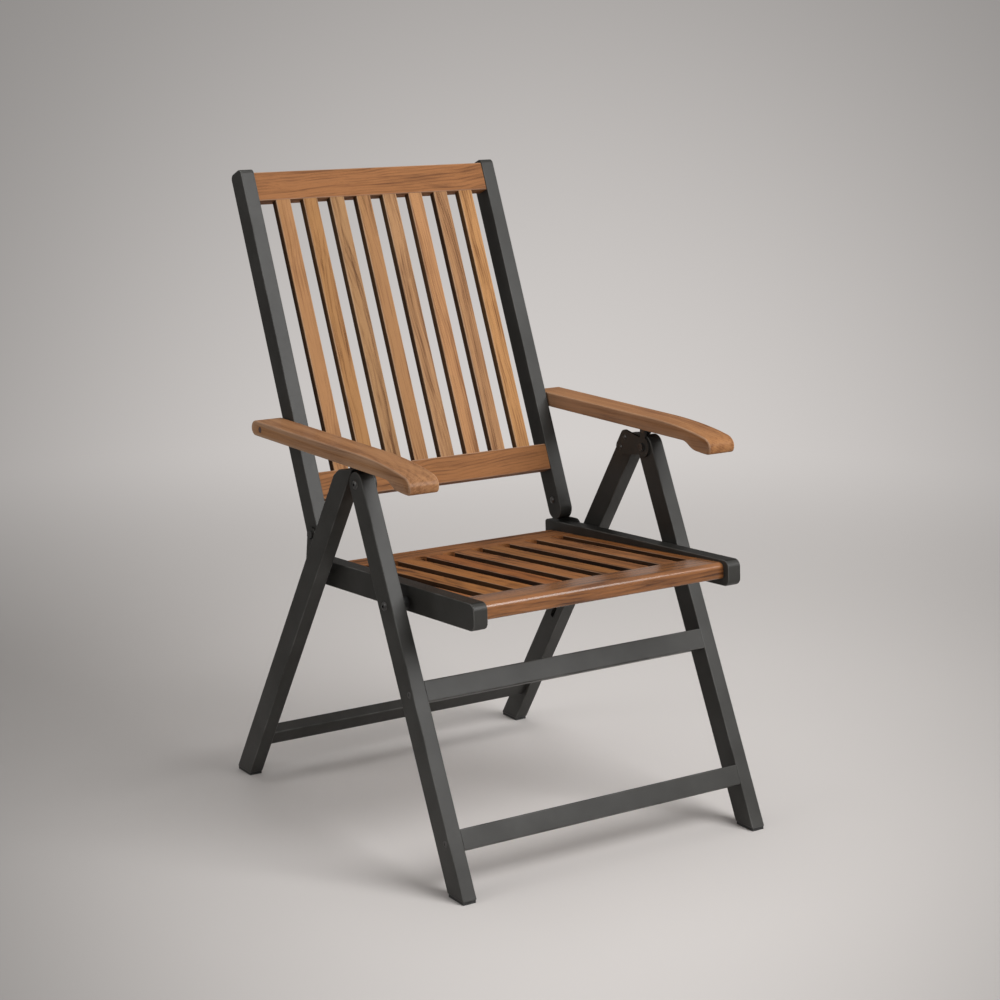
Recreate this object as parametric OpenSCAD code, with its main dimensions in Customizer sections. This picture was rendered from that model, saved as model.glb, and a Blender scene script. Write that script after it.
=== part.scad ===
// Folding garden chair: painted hardwood frame, natural hardwood slats and arms,
// high slatted back that reclines in five steps and folds flat with the legs.
// Millimetres. X is across the chair, -Y is the front, +Z is up.

/* [Frame] */
// Width over the outer faces of the legs
frame_w = 582; // [540:1:640]
// Thickness of every frame member, across the chair
bar_t = 25; // [22:0.5:30]
// Depth of the legs, seen from the side
leg_d = 40; // [34:0.5:44]
// Clear gap between the legs and the seat rails
side_gap = 14; // [12:0.5:20]
// Height of the leg pivot above the ground
apex_z = 587; // [560:1:610]
// Lean of the front legs from the vertical
front_lean = 26; // [22:0.1:28]
// Lean of the rear legs from the vertical
rear_lean = 31.8; // [29:0.1:34]
// Clearance between the rear and front legs when folded
leg_gap = 1; // [0.8:0.1:3]
// Height of the top of the rear legs above the leg pivot
rear_top_rise = 22; // [21:0.5:22]
// Thickness of the foot glides
glide_t = 5; // [3:0.5:8]

/* [Stretchers] */
// Height of the face of the front stretchers
stretcher_h = 33; // [26:0.5:42]
// Thickness of the stretchers, front to back
stretcher_t = 21; // [18:0.5:22]
// Height of the middle of the upper front stretcher
upper_stretcher_z = 288.5; // [270:0.5:305]
// Height of the middle of the lower front stretcher
lower_stretcher_z = 82; // [70:0.5:140]
// Height of the middle of the rear stretcher
rear_stretcher_z = 76; // [60:1:90]
// Height of the face of the rear stretcher
rear_stretcher_h = 30; // [24:0.5:34]

/* [Seat] */
// Height of the seat pivot above the ground
seat_pivot_z = 412; // [400:1:425]
// Depth of the seat rails, seen from the side
rail_d = 42; // [38:0.5:48]
// Height of the seat pivot above the bottom edge of the rail
pivot_up = 13; // [12:0.5:18]
// Slope of the seat rails, down to the rear
seat_slope = 3.15; // [1:0.05:5]
// Reach of the seat rails in front of the seat pivot
rail_front = 192; // [170:1:210]
// Reach of the seat rails behind the seat pivot
rail_rear = 320; // [310:1:330]
// Radius of the front corners of the seat rails
rail_nose_r = 12; // [6:0.5:18]
// Front edge of the wooden seat, behind the front ends of the rails
seat_set_back = 13; // [4:0.5:30]
// Length of the wooden seat, front to back
seat_len = 482; // [470:1:490]
// Drop of the seat below the rails at its front edge
seat_drop_front = 4; // [2:0.5:6]
// Drop of the seat below the rails at its rear edge
seat_drop_rear = 18; // [12:0.5:19]
// Width of the front seat rail, front to back
front_rail_w = 62; // [50:1:75]
// Width of the rear seat rail, front to back
rear_rail_w = 70; // [55:1:80]
// Thickness of the front seat rail
front_rail_t = 26; // [22:0.5:28]
// Thickness of the rear seat rail
rear_rail_t = 22; // [18:0.5:23]
// Radius of the rounded front edge of the seat
bullnose_r = 9; // [4:0.5:12]
// Thickness of the seat slats
seat_slat_t = 18; // [14:0.5:20]
// Distance from one seat slat to the next
seat_pitch = 55.5; // [54:0.1:56]
// Width of the slots between the seat slats
seat_slot = 21.5; // [10:0.5:24]
// Clearance between the wooden seat and the seat rails
seat_side_gap = 0.3; // [0.2:0.1:1]

/* [Back] */
// Depth of the back stiles, seen from the side
stile_d = 38; // [34:0.5:42]
// Lean of the back from the vertical
back_lean = 23.4; // [20:0.1:25]
// Distance of the back pivot behind the seat pivot, along the rail
back_pivot_u = 294.8; // [288:0.5:300]
// Height of the back pivot above the top of the seat rail
back_pivot_up = 36.3; // [36:0.1:42]
// Reach of the stile below the back pivot
stile_foot = 34.5; // [30:0.5:35]
// Height of the stile above the back pivot, along the stile
stile_top = 627; // [580:1:650]
// Height of the bottom rail above the back pivot, along the stile
bottom_rail_s = 53; // [45:1:70]
// Height of the face of the bottom rail
bottom_rail_h = 46; // [36:1:60]
// Distance from the top rail to the ends of the stiles
top_rail_drop = 7; // [3:1:30]
// Height of the face of the top rail
top_rail_h = 50; // [36:1:70]
// Thickness of the back rails
back_rail_t = 24; // [18:0.5:26]
// Number of slats in the back
back_slats = 8;
// Distance from one back slat to the next
back_pitch = 52; // [48:0.5:56]
// Width of the back slats
back_slat_w = 28; // [20:0.5:36]
// Thickness of the back slats
back_slat_t = 15; // [10:0.5:18]
// Depth of the faces of the back rails behind the stiles
back_rail_in = 2; // [1:0.5:5]
// Depth of the faces of the back slats behind the stiles
back_slat_in = 3; // [1.5:0.5:7]

/* [Arms] */
// Width of the arms
arm_w = 52.5; // [48:0.5:60]
// Thickness of the arms
arm_t = 25; // [23:0.5:28]
// Clearance between the arms and the stiles
arm_gap = 2.5; // [2:0.1:3]
// Height of the arm pivots above the latch pins
arm_up = 16; // [14:0.5:20]
// Reach of the arms behind their pivots
arm_rear = 31.5; // [24:0.5:40]
// Reach of the arms in front of their pivots
arm_front = 474.5; // [450:0.5:490]
// Depth of the thick front end of the arm below the underside
arm_lobe = 13.5; // [6:0.5:16]
// Drop of the front end of the arm from its top face
arm_fall = 14; // [8:0.5:18]
// Height of the latch pin above the leg pivot
latch_up = 27; // [26.5:0.5:29]
// Diameter of the latch pins
latch_d = 8; // [6:0.5:9]
// Number of positions in each rack
notches = 5;
// Distance from one notch to the next
notch_pitch = 18.1; // [17:0.1:19]
// Depth of the notches
notch_depth = 7.6; // [7:0.1:8]
// Width of the racks
rack_w = 13; // [9:0.5:15]
// Depth of the recess in the underside of the arm
recess_d = 13.5; // [13:0.5:15]

/* [Fasteners] */
// Diameter of the pivot bolts
bolt_d = 8; // [6:0.5:9]
// Running clearance of a pivot bolt in its hole, on the diameter
bolt_fit = 0.16; // [0.1:0.02:0.2]
// Diameter of the bolt heads
head_d = 15; // [12:0.5:17]
// Diameter of the heads of the back pivot bolts
back_head_d = 12; // [10:0.5:15]
// Diameter of the steel barrels in the stiles, round the pivots
barrel_d = 24; // [18:0.5:25]
// Diameter of the arm pivot pins
arm_pin_d = 10; // [8:0.5:11]
// Height of the bolt heads
head_h = 3.5; // [2.5:0.1:4.5]
// Size of the nuts across their corners
nut_d = 14; // [12:0.5:15]
// Thickness of the nuts
nut_t = 4.5; // [3:0.1:5]
// Diameter of the stretcher bolts
joint_bolt_d = 6; // [5:0.5:7]
// Length of the stretcher bolts
joint_bolt_len = 62; // [50:1:75]
// Diameter of the wood screws
screw_d = 4.5; // [3.5:0.1:5]
// Diameter of the wood screw heads
screw_head_d = 8.5; // [7:0.1:10]
// Thickness of the leg hinge plates
plate_t = 4; // [3:0.5:5]
// Thickness of the back hinge plates
hinge_t = 3; // [2.5:0.5:4]
// Diameter of the guide studs of the seat
guide_d = 8; // [6:0.5:9]
// Distance of the guide studs below the leg pivot, along the rear legs
guide_s = 235; // [232:0.5:238]
// Depth of the guide grooves in the rear legs
groove_d = 9; // [6:0.5:12]
// Outer diameter of the arm bushes
bush_d = 16; // [13:0.5:17]

/* [Joinery] */
// Clearance round a tenon or a housed slat end, on each side
glue_gap = 0.15; // [0.1:0.05:0.3]
// Length of the rail tenons
tenon_len = 15; // [8:0.5:18]
// Thickness of the rail tenons
tenon_t = 12; // [8:0.5:14]
// Depth to which the slats are let into their rails
housing = 9; // [5:0.5:12]

/* [Hidden] */
$fn = 48;
// Overshoot of a cutting shape past the face that it cuts
cut = 1;
paint = "dimgray";
wood = "peru";
steel = "darkslategray";
plastic = "black";

// Places across the chair
leg_out = frame_w / 2;
leg_in = leg_out - bar_t;
rail_out = leg_in - side_gap;
rail_in = rail_out - bar_t;
arm_in = rail_out + arm_gap;
leg_mid = leg_out - bar_t / 2;

// Side view: y runs to the rear from the leg pivot, z runs up from the ground
apex = [0, apex_z];
front_dir = [sin(front_lean), cos(front_lean)];
rear_dir = [sin(rear_lean), -cos(rear_lean)];
rear_normal = [cos(rear_lean), sin(rear_lean)];
leg_spacing = leg_d + leg_gap;
rear_top = apex + leg_spacing * rear_normal;
function front_y(z) = -(apex_z - z) * tan(front_lean);
function rear_y(z) = rear_top[0] + (rear_top[1] - z) * tan(rear_lean);
front_half = leg_d / 2 / cos(front_lean);
rear_half = leg_d / 2 / cos(rear_lean);
seat_pivot = [front_y(seat_pivot_z), seat_pivot_z];
function turned(p, a) = [p[0] * cos(a) - p[1] * sin(a), p[0] * sin(a) + p[1] * cos(a)];
function on_rail(u, v) = seat_pivot + turned([u, v - pivot_up], -seat_slope);
back_pivot = on_rail(back_pivot_u, rail_d + back_pivot_up);
back_dir = [sin(back_lean), cos(back_lean)];
arm_z = apex_z + latch_up + arm_up;
arm_s = (arm_z - back_pivot[1]) / cos(back_lean);
arm_pivot = back_pivot + arm_s * back_dir;
latch = apex + [0, latch_up];

// The origin lies under the middle of the chair's depth
stile_corner_r = 9;
y_front = front_y(0) - front_half;
stile_end = back_pivot + turned([stile_top - stile_corner_r, stile_corner_r - stile_d / 2],
                                90 - back_lean);
y_rear = stile_end[0] + stile_corner_r;
y_shift = -(y_front + y_rear) / 2;

// Guide stud of the seat, and the groove of the rear leg that it runs in
guide = rear_top + guide_s * rear_dir;
groove_play = 0.7;
groove_w = guide_d + 2 * groove_play;
groove_travel = 206;
stop_gap = 0.2;
end_play = 0.2;
groove_start = rear_top + (guide_s + groove_play - stop_gap) * rear_dir;
groove_end = rear_top + (guide_s + groove_travel) * rear_dir;
guide_in_rail = 9;

// Seat boards, in a frame that starts at the top of the front edge
seat_u = seat_set_back - rail_front;
seat_v = rail_d - seat_drop_front;
seat_tilt = atan((seat_drop_rear - seat_drop_front) / seat_len);
seat_w = 2 * (rail_in - seat_side_gap);
seat_slats = 9;
seat_slat_w = seat_pitch - seat_slot;
slat_from = front_rail_w;
slat_to = seat_len - rear_rail_w;

// Back rails and slats
stile_front = stile_d / 2;
top_rail_s = stile_top - top_rail_drop - top_rail_h;
back_span = 2 * rail_in;
back_slat_from = bottom_rail_s + bottom_rail_h;

// Arm and rack, measured forward and up from the arm pivot
rack_clear = 0.5;
latch_a = arm_pivot[0] - latch[0];
latch_b = latch[1] - arm_pivot[1];
rack_tip = latch_b + latch_d / 2 + rack_clear;
recess_roof = -arm_t / 2 + recess_d;
recess_margin = 20;
rack_end = 14;
rack_play = 2.5;
notch_w = latch_d + 1;
rack_from = latch_a - rack_end - notch_w / 2 + 1;
rack_to = latch_a + (notches - 1) * notch_pitch + rack_end + notch_w / 2 - 1;
rack_screw_in = 6;
bore_d = bolt_d + bolt_fit;
bush_len = arm_w - 12;
flange_t = arm_gap - 0.5;
flange_d = 22;
spacer_d = 20;
nut_recess = nut_t + 1;
nut_recess_d = nut_d + 3;
plate_r = 13;
hinge_r = 13;
barrel_cover = 4;
screw_head_h = 2.2;
joint_head_d = 10.5;
joint_head_h = 1;

// Draws its child, an outline in the side view, as a solid from x0 to x1
module side(x0, x1) {
    translate([x0, y_shift, 0])
        rotate([90, 0, 90])
            linear_extrude(x1 - x0)
                children();
}

// A round bar across the chair, at a point of the side view
module across(p, d, x0, x1) {
    translate([x0, p[0] + y_shift, p[1]])
        rotate([0, 90, 0])
            cylinder(d = d, h = x1 - x0);
}

// A low domed bolt head that stands on the plane x and faces the side dir
module dome_head(p, d, h, x, dir) {
    translate([x, p[0] + y_shift, p[1]])
        rotate([0, dir * 90, 0])
            rotate_extrude()
                intersection() {
                    square([d / 2, h]);
                    translate([0, h - sphere_r(d, h)])
                        circle(r = sphere_r(d, h), $fn = 96);
                }
}
function sphere_r(d, h) = (d * d / 4 + h * h) / (2 * h) * 1.12;

// A hexagon nut between the planes x0 and x1, with its bore
module nut(p, x0, x1, bore) {
    difference() {
        translate([x0, p[0] + y_shift, p[1]])
            rotate([0, 90, 0])
                cylinder(d = nut_d, h = x1 - x0, $fn = 6);
        across(p, bore, x0 - cut, x1 + cut);
    }
}

// The same shape on both sides of the chair
module both() {
    children();
    mirror([1, 0, 0])
        children();
}

// Moves a side-view outline into the frame of the seat rail
module rail_frame() {
    translate(seat_pivot)
        rotate(-seat_slope)
            translate([0, -pivot_up])
                children();
}

// Moves a side-view outline into the frame of the seat boards
module seat_frame() {
    rail_frame()
        translate([seat_u, seat_v])
            rotate(-seat_tilt)
                children();
}

// Moves a side-view outline into the frame of the back: x up the stile, y to the front
module back_frame() {
    translate(back_pivot)
        rotate(90 - back_lean)
            children();
}

// Moves a side-view outline into the frame of the arm: x forward, y up
module arm_frame() {
    translate(arm_pivot)
        mirror([1, 0])
            children();
}

// A flat bar with round ends between two points; its sides lie a hair inside the tangents
tangent_in = 0.02;
module capsule(p, q, r) {
    d = q - p;
    w = r - tangent_in;
    translate(p)
        circle(r);
    translate(q)
        circle(r);
    translate(p)
        rotate(atan2(d[1], d[0]))
            translate([0, -w])
                square([norm(d), 2 * w]);
}

// A rectangle whose corners are rounded: ra at the low end of x, rb at the high end
module rounded_bar(x0, x1, y0, y1, ra, rb) {
    for (c = [[x0 + ra, y0 + ra, ra], [x0 + ra, y1 - ra, ra],
              [x1 - rb, y0 + rb, rb], [x1 - rb, y1 - rb, rb]])
        translate([c[0], c[1]])
            circle(c[2]);
    translate([x0 + ra, y0])
        square([x1 - x0 - ra - rb, y1 - y0]);
    translate([x0, y0 + ra])
        square([ra, y1 - y0 - 2 * ra]);
    translate([x1 - rb, y0 + rb])
        square([rb, y1 - y0 - 2 * rb]);
}

// Front legs, with round tops about the leg pivot
module front_leg_outline() {
    polygon([
        [front_y(glide_t) - front_half, glide_t],
        [front_y(glide_t) + front_half, glide_t],
        apex + leg_d / 2 * [cos(front_lean), -sin(front_lean)],
        apex - leg_d / 2 * [cos(front_lean), -sin(front_lean)]
    ]);
    translate(apex)
        circle(d = leg_d, $fn = 96);
}

// The faces of the front stretchers lie a little behind the faces of the legs
stretcher_set_in = 0.5;
stretcher_shift = (stretcher_t / 2 + stretcher_set_in - leg_d / 2)
                  * [cos(front_lean), -sin(front_lean)];
function stretcher_at(z) = apex + stretcher_shift
    - (apex_z + stretcher_shift[1] - z) / cos(front_lean) * front_dir;

module front_leg() {
    difference() {
        side(leg_in, leg_out)
            front_leg_outline();
        across(apex, bore_d, leg_in - cut, leg_out + cut);
        across(seat_pivot, bore_d, leg_in - cut, leg_out + cut);
        for (z = [upper_stretcher_z, lower_stretcher_z])
            across(stretcher_at(z), joint_bolt_d + 2 * glue_gap,
                   leg_in - cut, leg_out + cut);
        glide_pin(front_y(glide_t), 2 * glue_gap);
    }
}
module front_leg_left() {
    color(paint)
        mirror([1, 0, 0])
            front_leg();
}
module front_leg_right() {
    color(paint)
        front_leg();
}

module front_stretcher(z) {
    difference() {
        side(-leg_in, leg_in)
            translate(stretcher_at(z))
                rotate(-front_lean)
                    square([stretcher_t, stretcher_h], center = true);
        both()
            across(stretcher_at(z), joint_bolt_d + 2 * glue_gap,
                   leg_out - joint_bolt_len - cut, leg_in + cut);
    }
}
module upper_stretcher() {
    color(paint)
        front_stretcher(upper_stretcher_z);
}
module lower_stretcher() {
    color(paint)
        front_stretcher(lower_stretcher_z);
}

module front_stretcher_bolts() {
    color(steel)
        both()
            for (z = [upper_stretcher_z, lower_stretcher_z]) {
                across(stretcher_at(z), joint_bolt_d, leg_out - joint_bolt_len, leg_out);
                dome_head(stretcher_at(z), joint_head_d, joint_head_h, leg_out, 1);
            }
}

// Foot glides: a pad under the leg with a pin that is driven up into it
glide_pin_d = 6;
glide_pin_h = 16;
glide_edge = 1.5;
module glide_pin(y, extra) {
    translate([leg_mid, y + y_shift, glide_t - cut])
        cylinder(d = glide_pin_d + extra, h = glide_pin_h + cut + extra);
}
module glide(y, half) {
    union() {
        translate([leg_mid, y + y_shift, glide_t / 2])
            cube([bar_t - 2 * glide_edge, 2 * half - 2 * glide_edge, glide_t], center = true);
        glide_pin(y, 0);
    }
}
module front_glides() {
    color(plastic)
        both()
            glide(front_y(glide_t), front_half);
}

// Leg pivot: a bolt through the front leg and the hinge plate of the rear leg
module apex_bolts() {
    color(steel)
        both() {
            across(apex, bolt_d, leg_in - plate_t - nut_t, leg_out);
            dome_head(apex, head_d, head_h, leg_out, 1);
        }
}
module apex_nuts() {
    color(steel)
        both()
            nut(apex, leg_in - plate_t - nut_t, leg_in - plate_t, bolt_d + 2 * glue_gap);
}

// Seat pivot: a bolt through the front leg, a washer stack and the seat rail
module seat_pivot_bolts() {
    color(steel)
        both() {
            across(seat_pivot, bolt_d, rail_in + nut_recess - nut_t, leg_out);
            dome_head(seat_pivot, head_d, head_h, leg_out, 1);
        }
}
module seat_pivot_nuts() {
    color(steel)
        both()
            nut(seat_pivot, rail_in + nut_recess - nut_t, rail_in + nut_recess,
                bolt_d + 2 * glue_gap);
}
module seat_pivot_washers() {
    color(plastic)
        both()
            difference() {
                across(seat_pivot, spacer_d, rail_out, leg_in);
                across(seat_pivot, bore_d, rail_out - cut, leg_in + cut);
            }
}

// Rear legs, cut almost level under the arms with the rear corner taken off
rear_top_z = apex_z + rear_top_rise;
rear_top_fall = 7.2;
rear_corner_run = 42.5;
rear_corner_fall = 18;
module rear_leg_outline() {
    polygon([
        [rear_y(glide_t) - rear_half, glide_t],
        [rear_y(glide_t) + rear_half, glide_t],
        [rear_y(rear_top_z - rear_corner_fall) + rear_half, rear_top_z - rear_corner_fall],
        [rear_y(rear_top_z) - rear_half + rear_corner_run, rear_top_z - rear_top_fall],
        [rear_y(rear_top_z) - rear_half, rear_top_z]
    ]);
}
plate_screw_s = [18, 40];
plate_screw_back = 5;
function plate_screw(i) = rear_top + plate_screw_s[i] * rear_dir + plate_screw_back * rear_normal;
plate_screw_len = 20;

module rear_leg() {
    difference() {
        side(leg_in, leg_out)
            rear_leg_outline();
        for (i = [0, 1])
            across(plate_screw(i), screw_d + 2 * glue_gap,
                   leg_in - cut, leg_in - plate_t + plate_screw_len + glue_gap);
        side(leg_in - cut, leg_in + groove_d)
            capsule(groove_start, groove_end, groove_w / 2);
        rear_tenons(glue_gap);
        glide_pin(rear_y(glide_t), 2 * glue_gap);
    }
}
module rear_leg_left() {
    color(paint)
        mirror([1, 0, 0])
            rear_leg();
}
module rear_leg_right() {
    color(paint)
        rear_leg();
}

// The rear stretcher is tenoned into the rear legs, near their rear faces
rear_stretcher_at = [rear_y(rear_stretcher_z), rear_stretcher_z];
rear_tenon_h = 20;
module rear_tenons(extra) {
    side(leg_in - cut, leg_in + tenon_len + extra)
        translate(rear_stretcher_at)
            rotate(rear_lean)
                square([tenon_t + 2 * extra, rear_tenon_h + 2 * extra], center = true);
}
module rear_stretcher() {
    color(paint)
        union() {
            side(-leg_in, leg_in)
                translate(rear_stretcher_at)
                    rotate(rear_lean)
                        square([stretcher_t, rear_stretcher_h], center = true);
            both()
                rear_tenons(0);
        }
}
module rear_glides() {
    color(plastic)
        both()
            glide(rear_y(glide_t), rear_half);
}

// Hinge plate of the rear leg; its lug over the front leg carries the latch pin
latch_lug_r = 7;
latch_fit = 0.1;
plate_top_d = leg_d - 6;
module apex_plate() {
    difference() {
        side(leg_in - plate_t, leg_in)
            union() {
                translate(apex)
                    circle(d = plate_top_d, $fn = 64);
                capsule(apex, latch, latch_lug_r);
                capsule(apex, plate_screw(0), plate_r);
                capsule(apex, plate_screw(1), plate_r);
                capsule(plate_screw(0), plate_screw(1), plate_r);
            }
        across(apex, bore_d, leg_in - plate_t - cut, leg_in + cut);
        across(latch, latch_d + latch_fit, leg_in - plate_t - cut, leg_in + cut);
        for (i = [0, 1])
            across(plate_screw(i), screw_d + 2 * glue_gap,
                   leg_in - plate_t - cut, leg_in + cut);
    }
}
module apex_plate_left() {
    color(steel)
        mirror([1, 0, 0])
            apex_plate();
}
module apex_plate_right() {
    color(steel)
        apex_plate();
}
latch_end_in = 2;
module latch_pins() {
    color(steel)
        both()
            across(latch, latch_d, leg_in - plate_t, leg_out - latch_end_in);
}
module apex_plate_screws() {
    color(steel)
        both()
            for (i = [0, 1]) {
                across(plate_screw(i), screw_d, leg_in - plate_t,
                       leg_in - plate_t + plate_screw_len);
                dome_head(plate_screw(i), screw_head_d, screw_head_h, leg_in - plate_t, -1);
            }
}
// Side rails of the seat
module seat_rail() {
    difference() {
        side(rail_in, rail_out)
            rail_frame()
                rounded_bar(-rail_front, rail_rear, 0, rail_d, rail_nose_r, rail_nose_r / 2);
        across(seat_pivot, bore_d, rail_in - cut, rail_out + cut);
        across(seat_pivot, nut_recess_d, rail_in - cut, rail_in + nut_recess);
        across(guide, guide_d + 2 * glue_gap, rail_out - guide_in_rail - glue_gap,
               rail_out + cut);
        for (i = [0, 1])
            across(hinge_screw(i), screw_d + 2 * glue_gap,
                   rail_out - hinge_screw_len + hinge_t - glue_gap, rail_out + cut);
        seat_tenons(glue_gap);
    }
}
module seat_rail_left() {
    color(paint)
        mirror([1, 0, 0])
            seat_rail();
}
module seat_rail_right() {
    color(paint)
        seat_rail();
}

// Studs of the seat, which ride in the grooves of the rear legs
module guide_studs() {
    color(steel)
        both()
            across(guide, guide_d, rail_out - guide_in_rail, leg_in + groove_d - 1);
}

// Wooden rails of the seat, tenoned into the side rails
seat_tenon_t = 10;
seat_tenon_side = 10;
module seat_tenons(extra) {
    side(seat_w / 2 - cut, rail_in + tenon_len + extra)
        seat_frame() {
            translate([seat_tenon_side - extra, -front_rail_t / 2 - seat_tenon_t / 2 - extra])
                square([front_rail_w - 2 * seat_tenon_side + 2 * extra,
                        seat_tenon_t + 2 * extra]);
            translate([slat_to + seat_tenon_side - extra,
                       -rear_rail_t / 2 - seat_tenon_t / 2 - extra])
                square([rear_rail_w - 2 * seat_tenon_side + 2 * extra,
                        seat_tenon_t + 2 * extra]);
        }
}
module front_rail_outline() {
    corner_low = bullnose_r / 2;
    translate([bullnose_r, -bullnose_r])
        circle(bullnose_r);
    translate([corner_low, corner_low - front_rail_t])
        circle(corner_low);
    translate([bullnose_r, -front_rail_t])
        square([front_rail_w - bullnose_r, front_rail_t]);
    translate([corner_low, -front_rail_t])
        square([bullnose_r, front_rail_t / 2]);
    translate([0, corner_low - front_rail_t])
        square([bullnose_r, front_rail_t - corner_low - bullnose_r]);
}
function seat_slat_x(i) = (i - (seat_slats - 1) / 2) * seat_pitch;
function seat_slat_half(i) = i == 0 || i == seat_slats - 1
    ? (seat_w / 2 - (seat_slats / 2 - 1) * seat_pitch - seat_slot / 2) / 2
    : seat_slat_w / 2;
function seat_slat_mid(i) = i == 0 ? -seat_w / 2 + seat_slat_half(i)
    : i == seat_slats - 1 ? seat_w / 2 - seat_slat_half(i)
    : seat_slat_x(i);

// The part of a slat that is let into the rails is thinner than the slat
tongue_in = 3;
tongue_t = seat_slat_t - 2 * tongue_in;
module seat_slat_at(i, extra) {
    side(seat_slat_mid(i) - seat_slat_half(i) + tongue_in - extra,
         seat_slat_mid(i) + seat_slat_half(i) - tongue_in + extra)
        seat_frame()
            translate([slat_from - housing - extra, -tongue_in - tongue_t - extra])
                square([slat_to - slat_from + 2 * housing + 2 * extra,
                        tongue_t + 2 * extra]);
}
module seat_slat(i) {
    color(wood)
        union() {
            side(seat_slat_mid(i) - seat_slat_half(i), seat_slat_mid(i) + seat_slat_half(i))
                seat_frame()
                    translate([slat_from, -seat_slat_t])
                        square([slat_to - slat_from, seat_slat_t]);
            seat_slat_at(i, 0);
        }
}
module seat_front_rail() {
    color(wood)
        difference() {
            union() {
                side(-seat_w / 2, seat_w / 2)
                    seat_frame()
                        front_rail_outline();
                both()
                    intersection() {
                        seat_tenons(0);
                        side(0, leg_out)
                            seat_frame()
                                translate([0, -front_rail_t])
                                    square([front_rail_w, front_rail_t]);
                    }
            }
            for (i = [0 : seat_slats - 1])
                seat_slat_at(i, glue_gap);
        }
}

// The rear rail has a round hollow at the end of each slot
module slot_ends() {
    for (i = [0 : seat_slats - 2])
        translate([(i - (seat_slats - 2) / 2) * seat_pitch, y_shift, 0])
            multmatrix(seat_matrix())
                translate([0, slat_to, -rear_rail_t - cut])
                    cylinder(d = seat_slot, h = rear_rail_t + 2 * cut);
}
seat_start = seat_pivot + turned([seat_u, seat_v - pivot_up], -seat_slope);
seat_angle = -seat_slope - seat_tilt;
function seat_matrix() = [
    [1, 0, 0, 0],
    [0, cos(seat_angle), -sin(seat_angle), seat_start[0]],
    [0, sin(seat_angle), cos(seat_angle), seat_start[1]],
    [0, 0, 0, 1]
];
module seat_rear_rail() {
    color(wood)
        difference() {
            union() {
                side(-seat_w / 2, seat_w / 2)
                    seat_frame()
                        translate([slat_to, -rear_rail_t])
                            square([rear_rail_w, rear_rail_t]);
                both()
                    intersection() {
                        seat_tenons(0);
                        side(0, leg_out)
                            seat_frame()
                                translate([slat_to, -rear_rail_t])
                                    square([rear_rail_w, rear_rail_t]);
                    }
            }
            for (i = [0 : seat_slats - 1])
                seat_slat_at(i, glue_gap);
            slot_ends();
        }
}

// Hinge plates that carry the back pivot above the seat rails
hinge_screw_u = [-32, 8];
hinge_screw_down = 8;
hinge_screw_len = 18;
function hinge_screw(i) = on_rail(back_pivot_u + hinge_screw_u[i], rail_d - hinge_screw_down);
module hinge_plates() {
    color(steel)
        both()
            difference() {
                side(rail_out, rail_out + hinge_t)
                    union() {
                        capsule(back_pivot, hinge_screw(1), hinge_r);
                        capsule(hinge_screw(0), hinge_screw(1), hinge_r);
                    }
                across(back_pivot, bore_d, rail_out - cut, rail_out + hinge_t + cut);
                for (i = [0, 1])
                    across(hinge_screw(i), screw_d + 2 * glue_gap,
                           rail_out - cut, rail_out + hinge_t + cut);
            }
}
module hinge_plate_screws() {
    color(steel)
        both()
            for (i = [0, 1]) {
                across(hinge_screw(i), screw_d, rail_out + hinge_t - hinge_screw_len,
                       rail_out + hinge_t);
                dome_head(hinge_screw(i), screw_head_d, screw_head_h, rail_out + hinge_t, 1);
            }
}

// Back pivot bolts, with their heads on the inner faces of the stiles, in steel barrels
module back_bolts() {
    color(steel)
        both() {
            across(back_pivot, bolt_d, rail_in, rail_out + hinge_t + nut_t);
            dome_head(back_pivot, back_head_d, head_h, rail_in, -1);
        }
}
module back_nuts() {
    color(steel)
        both()
            nut(back_pivot, rail_out + hinge_t, rail_out + hinge_t + nut_t,
                bolt_d + 2 * glue_gap);
}

module back_barrels() {
    color(steel)
        both()
            difference() {
                across(back_pivot, barrel_d, rail_in + barrel_cover, rail_out);
                across(back_pivot, bolt_d + 2 * glue_gap, rail_in, rail_out + cut);
            }
}

// Stiles of the back
module stile_outline() {
    rounded_bar(stile_d / 2 - stile_foot, stile_top, -stile_d / 2, stile_d / 2,
                0.01, stile_corner_r);
    translate([stile_d / 2 - stile_foot, 0])
        circle(d = stile_d, $fn = 96);
}
module back_stile() {
    difference() {
        side(rail_in, rail_out)
            back_frame()
                stile_outline();
        across(back_pivot, bore_d, rail_in - cut, rail_out + cut);
        for (p = [back_pivot, arm_pivot])
            across(p, barrel_d + bolt_fit, rail_in + barrel_cover - end_play, rail_out + cut);
        back_tenons(glue_gap);
    }
}
module back_stile_left() {
    color(paint)
        mirror([1, 0, 0])
            back_stile();
}
module back_stile_right() {
    color(paint)
        back_stile();
}

// Rails of the back, tenoned into the stiles
back_tenon_edge = 7;
rail_face = stile_front - back_rail_in;
module back_tenon(s, h, extra) {
    side(rail_in - cut, rail_in + tenon_len + extra)
        back_frame()
            translate([s + back_tenon_edge - extra,
                       rail_face - back_rail_t / 2 - tenon_t / 2 - extra])
                square([h - 2 * back_tenon_edge + 2 * extra, tenon_t + 2 * extra]);
}
module back_tenons(extra) {
    back_tenon(bottom_rail_s, bottom_rail_h, extra);
    back_tenon(top_rail_s, top_rail_h, extra);
}
function back_slat_x(i) = (i - (back_slats - 1) / 2) * back_pitch;
module back_slat_at(i, extra) {
    side(back_slat_x(i) - back_slat_w / 2 - extra, back_slat_x(i) + back_slat_w / 2 + extra)
        back_frame()
            translate([back_slat_from - housing - extra,
                       stile_front - back_slat_in - back_slat_t - extra])
                square([top_rail_s - back_slat_from + 2 * housing + 2 * extra,
                        back_slat_t + 2 * extra]);
}
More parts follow.
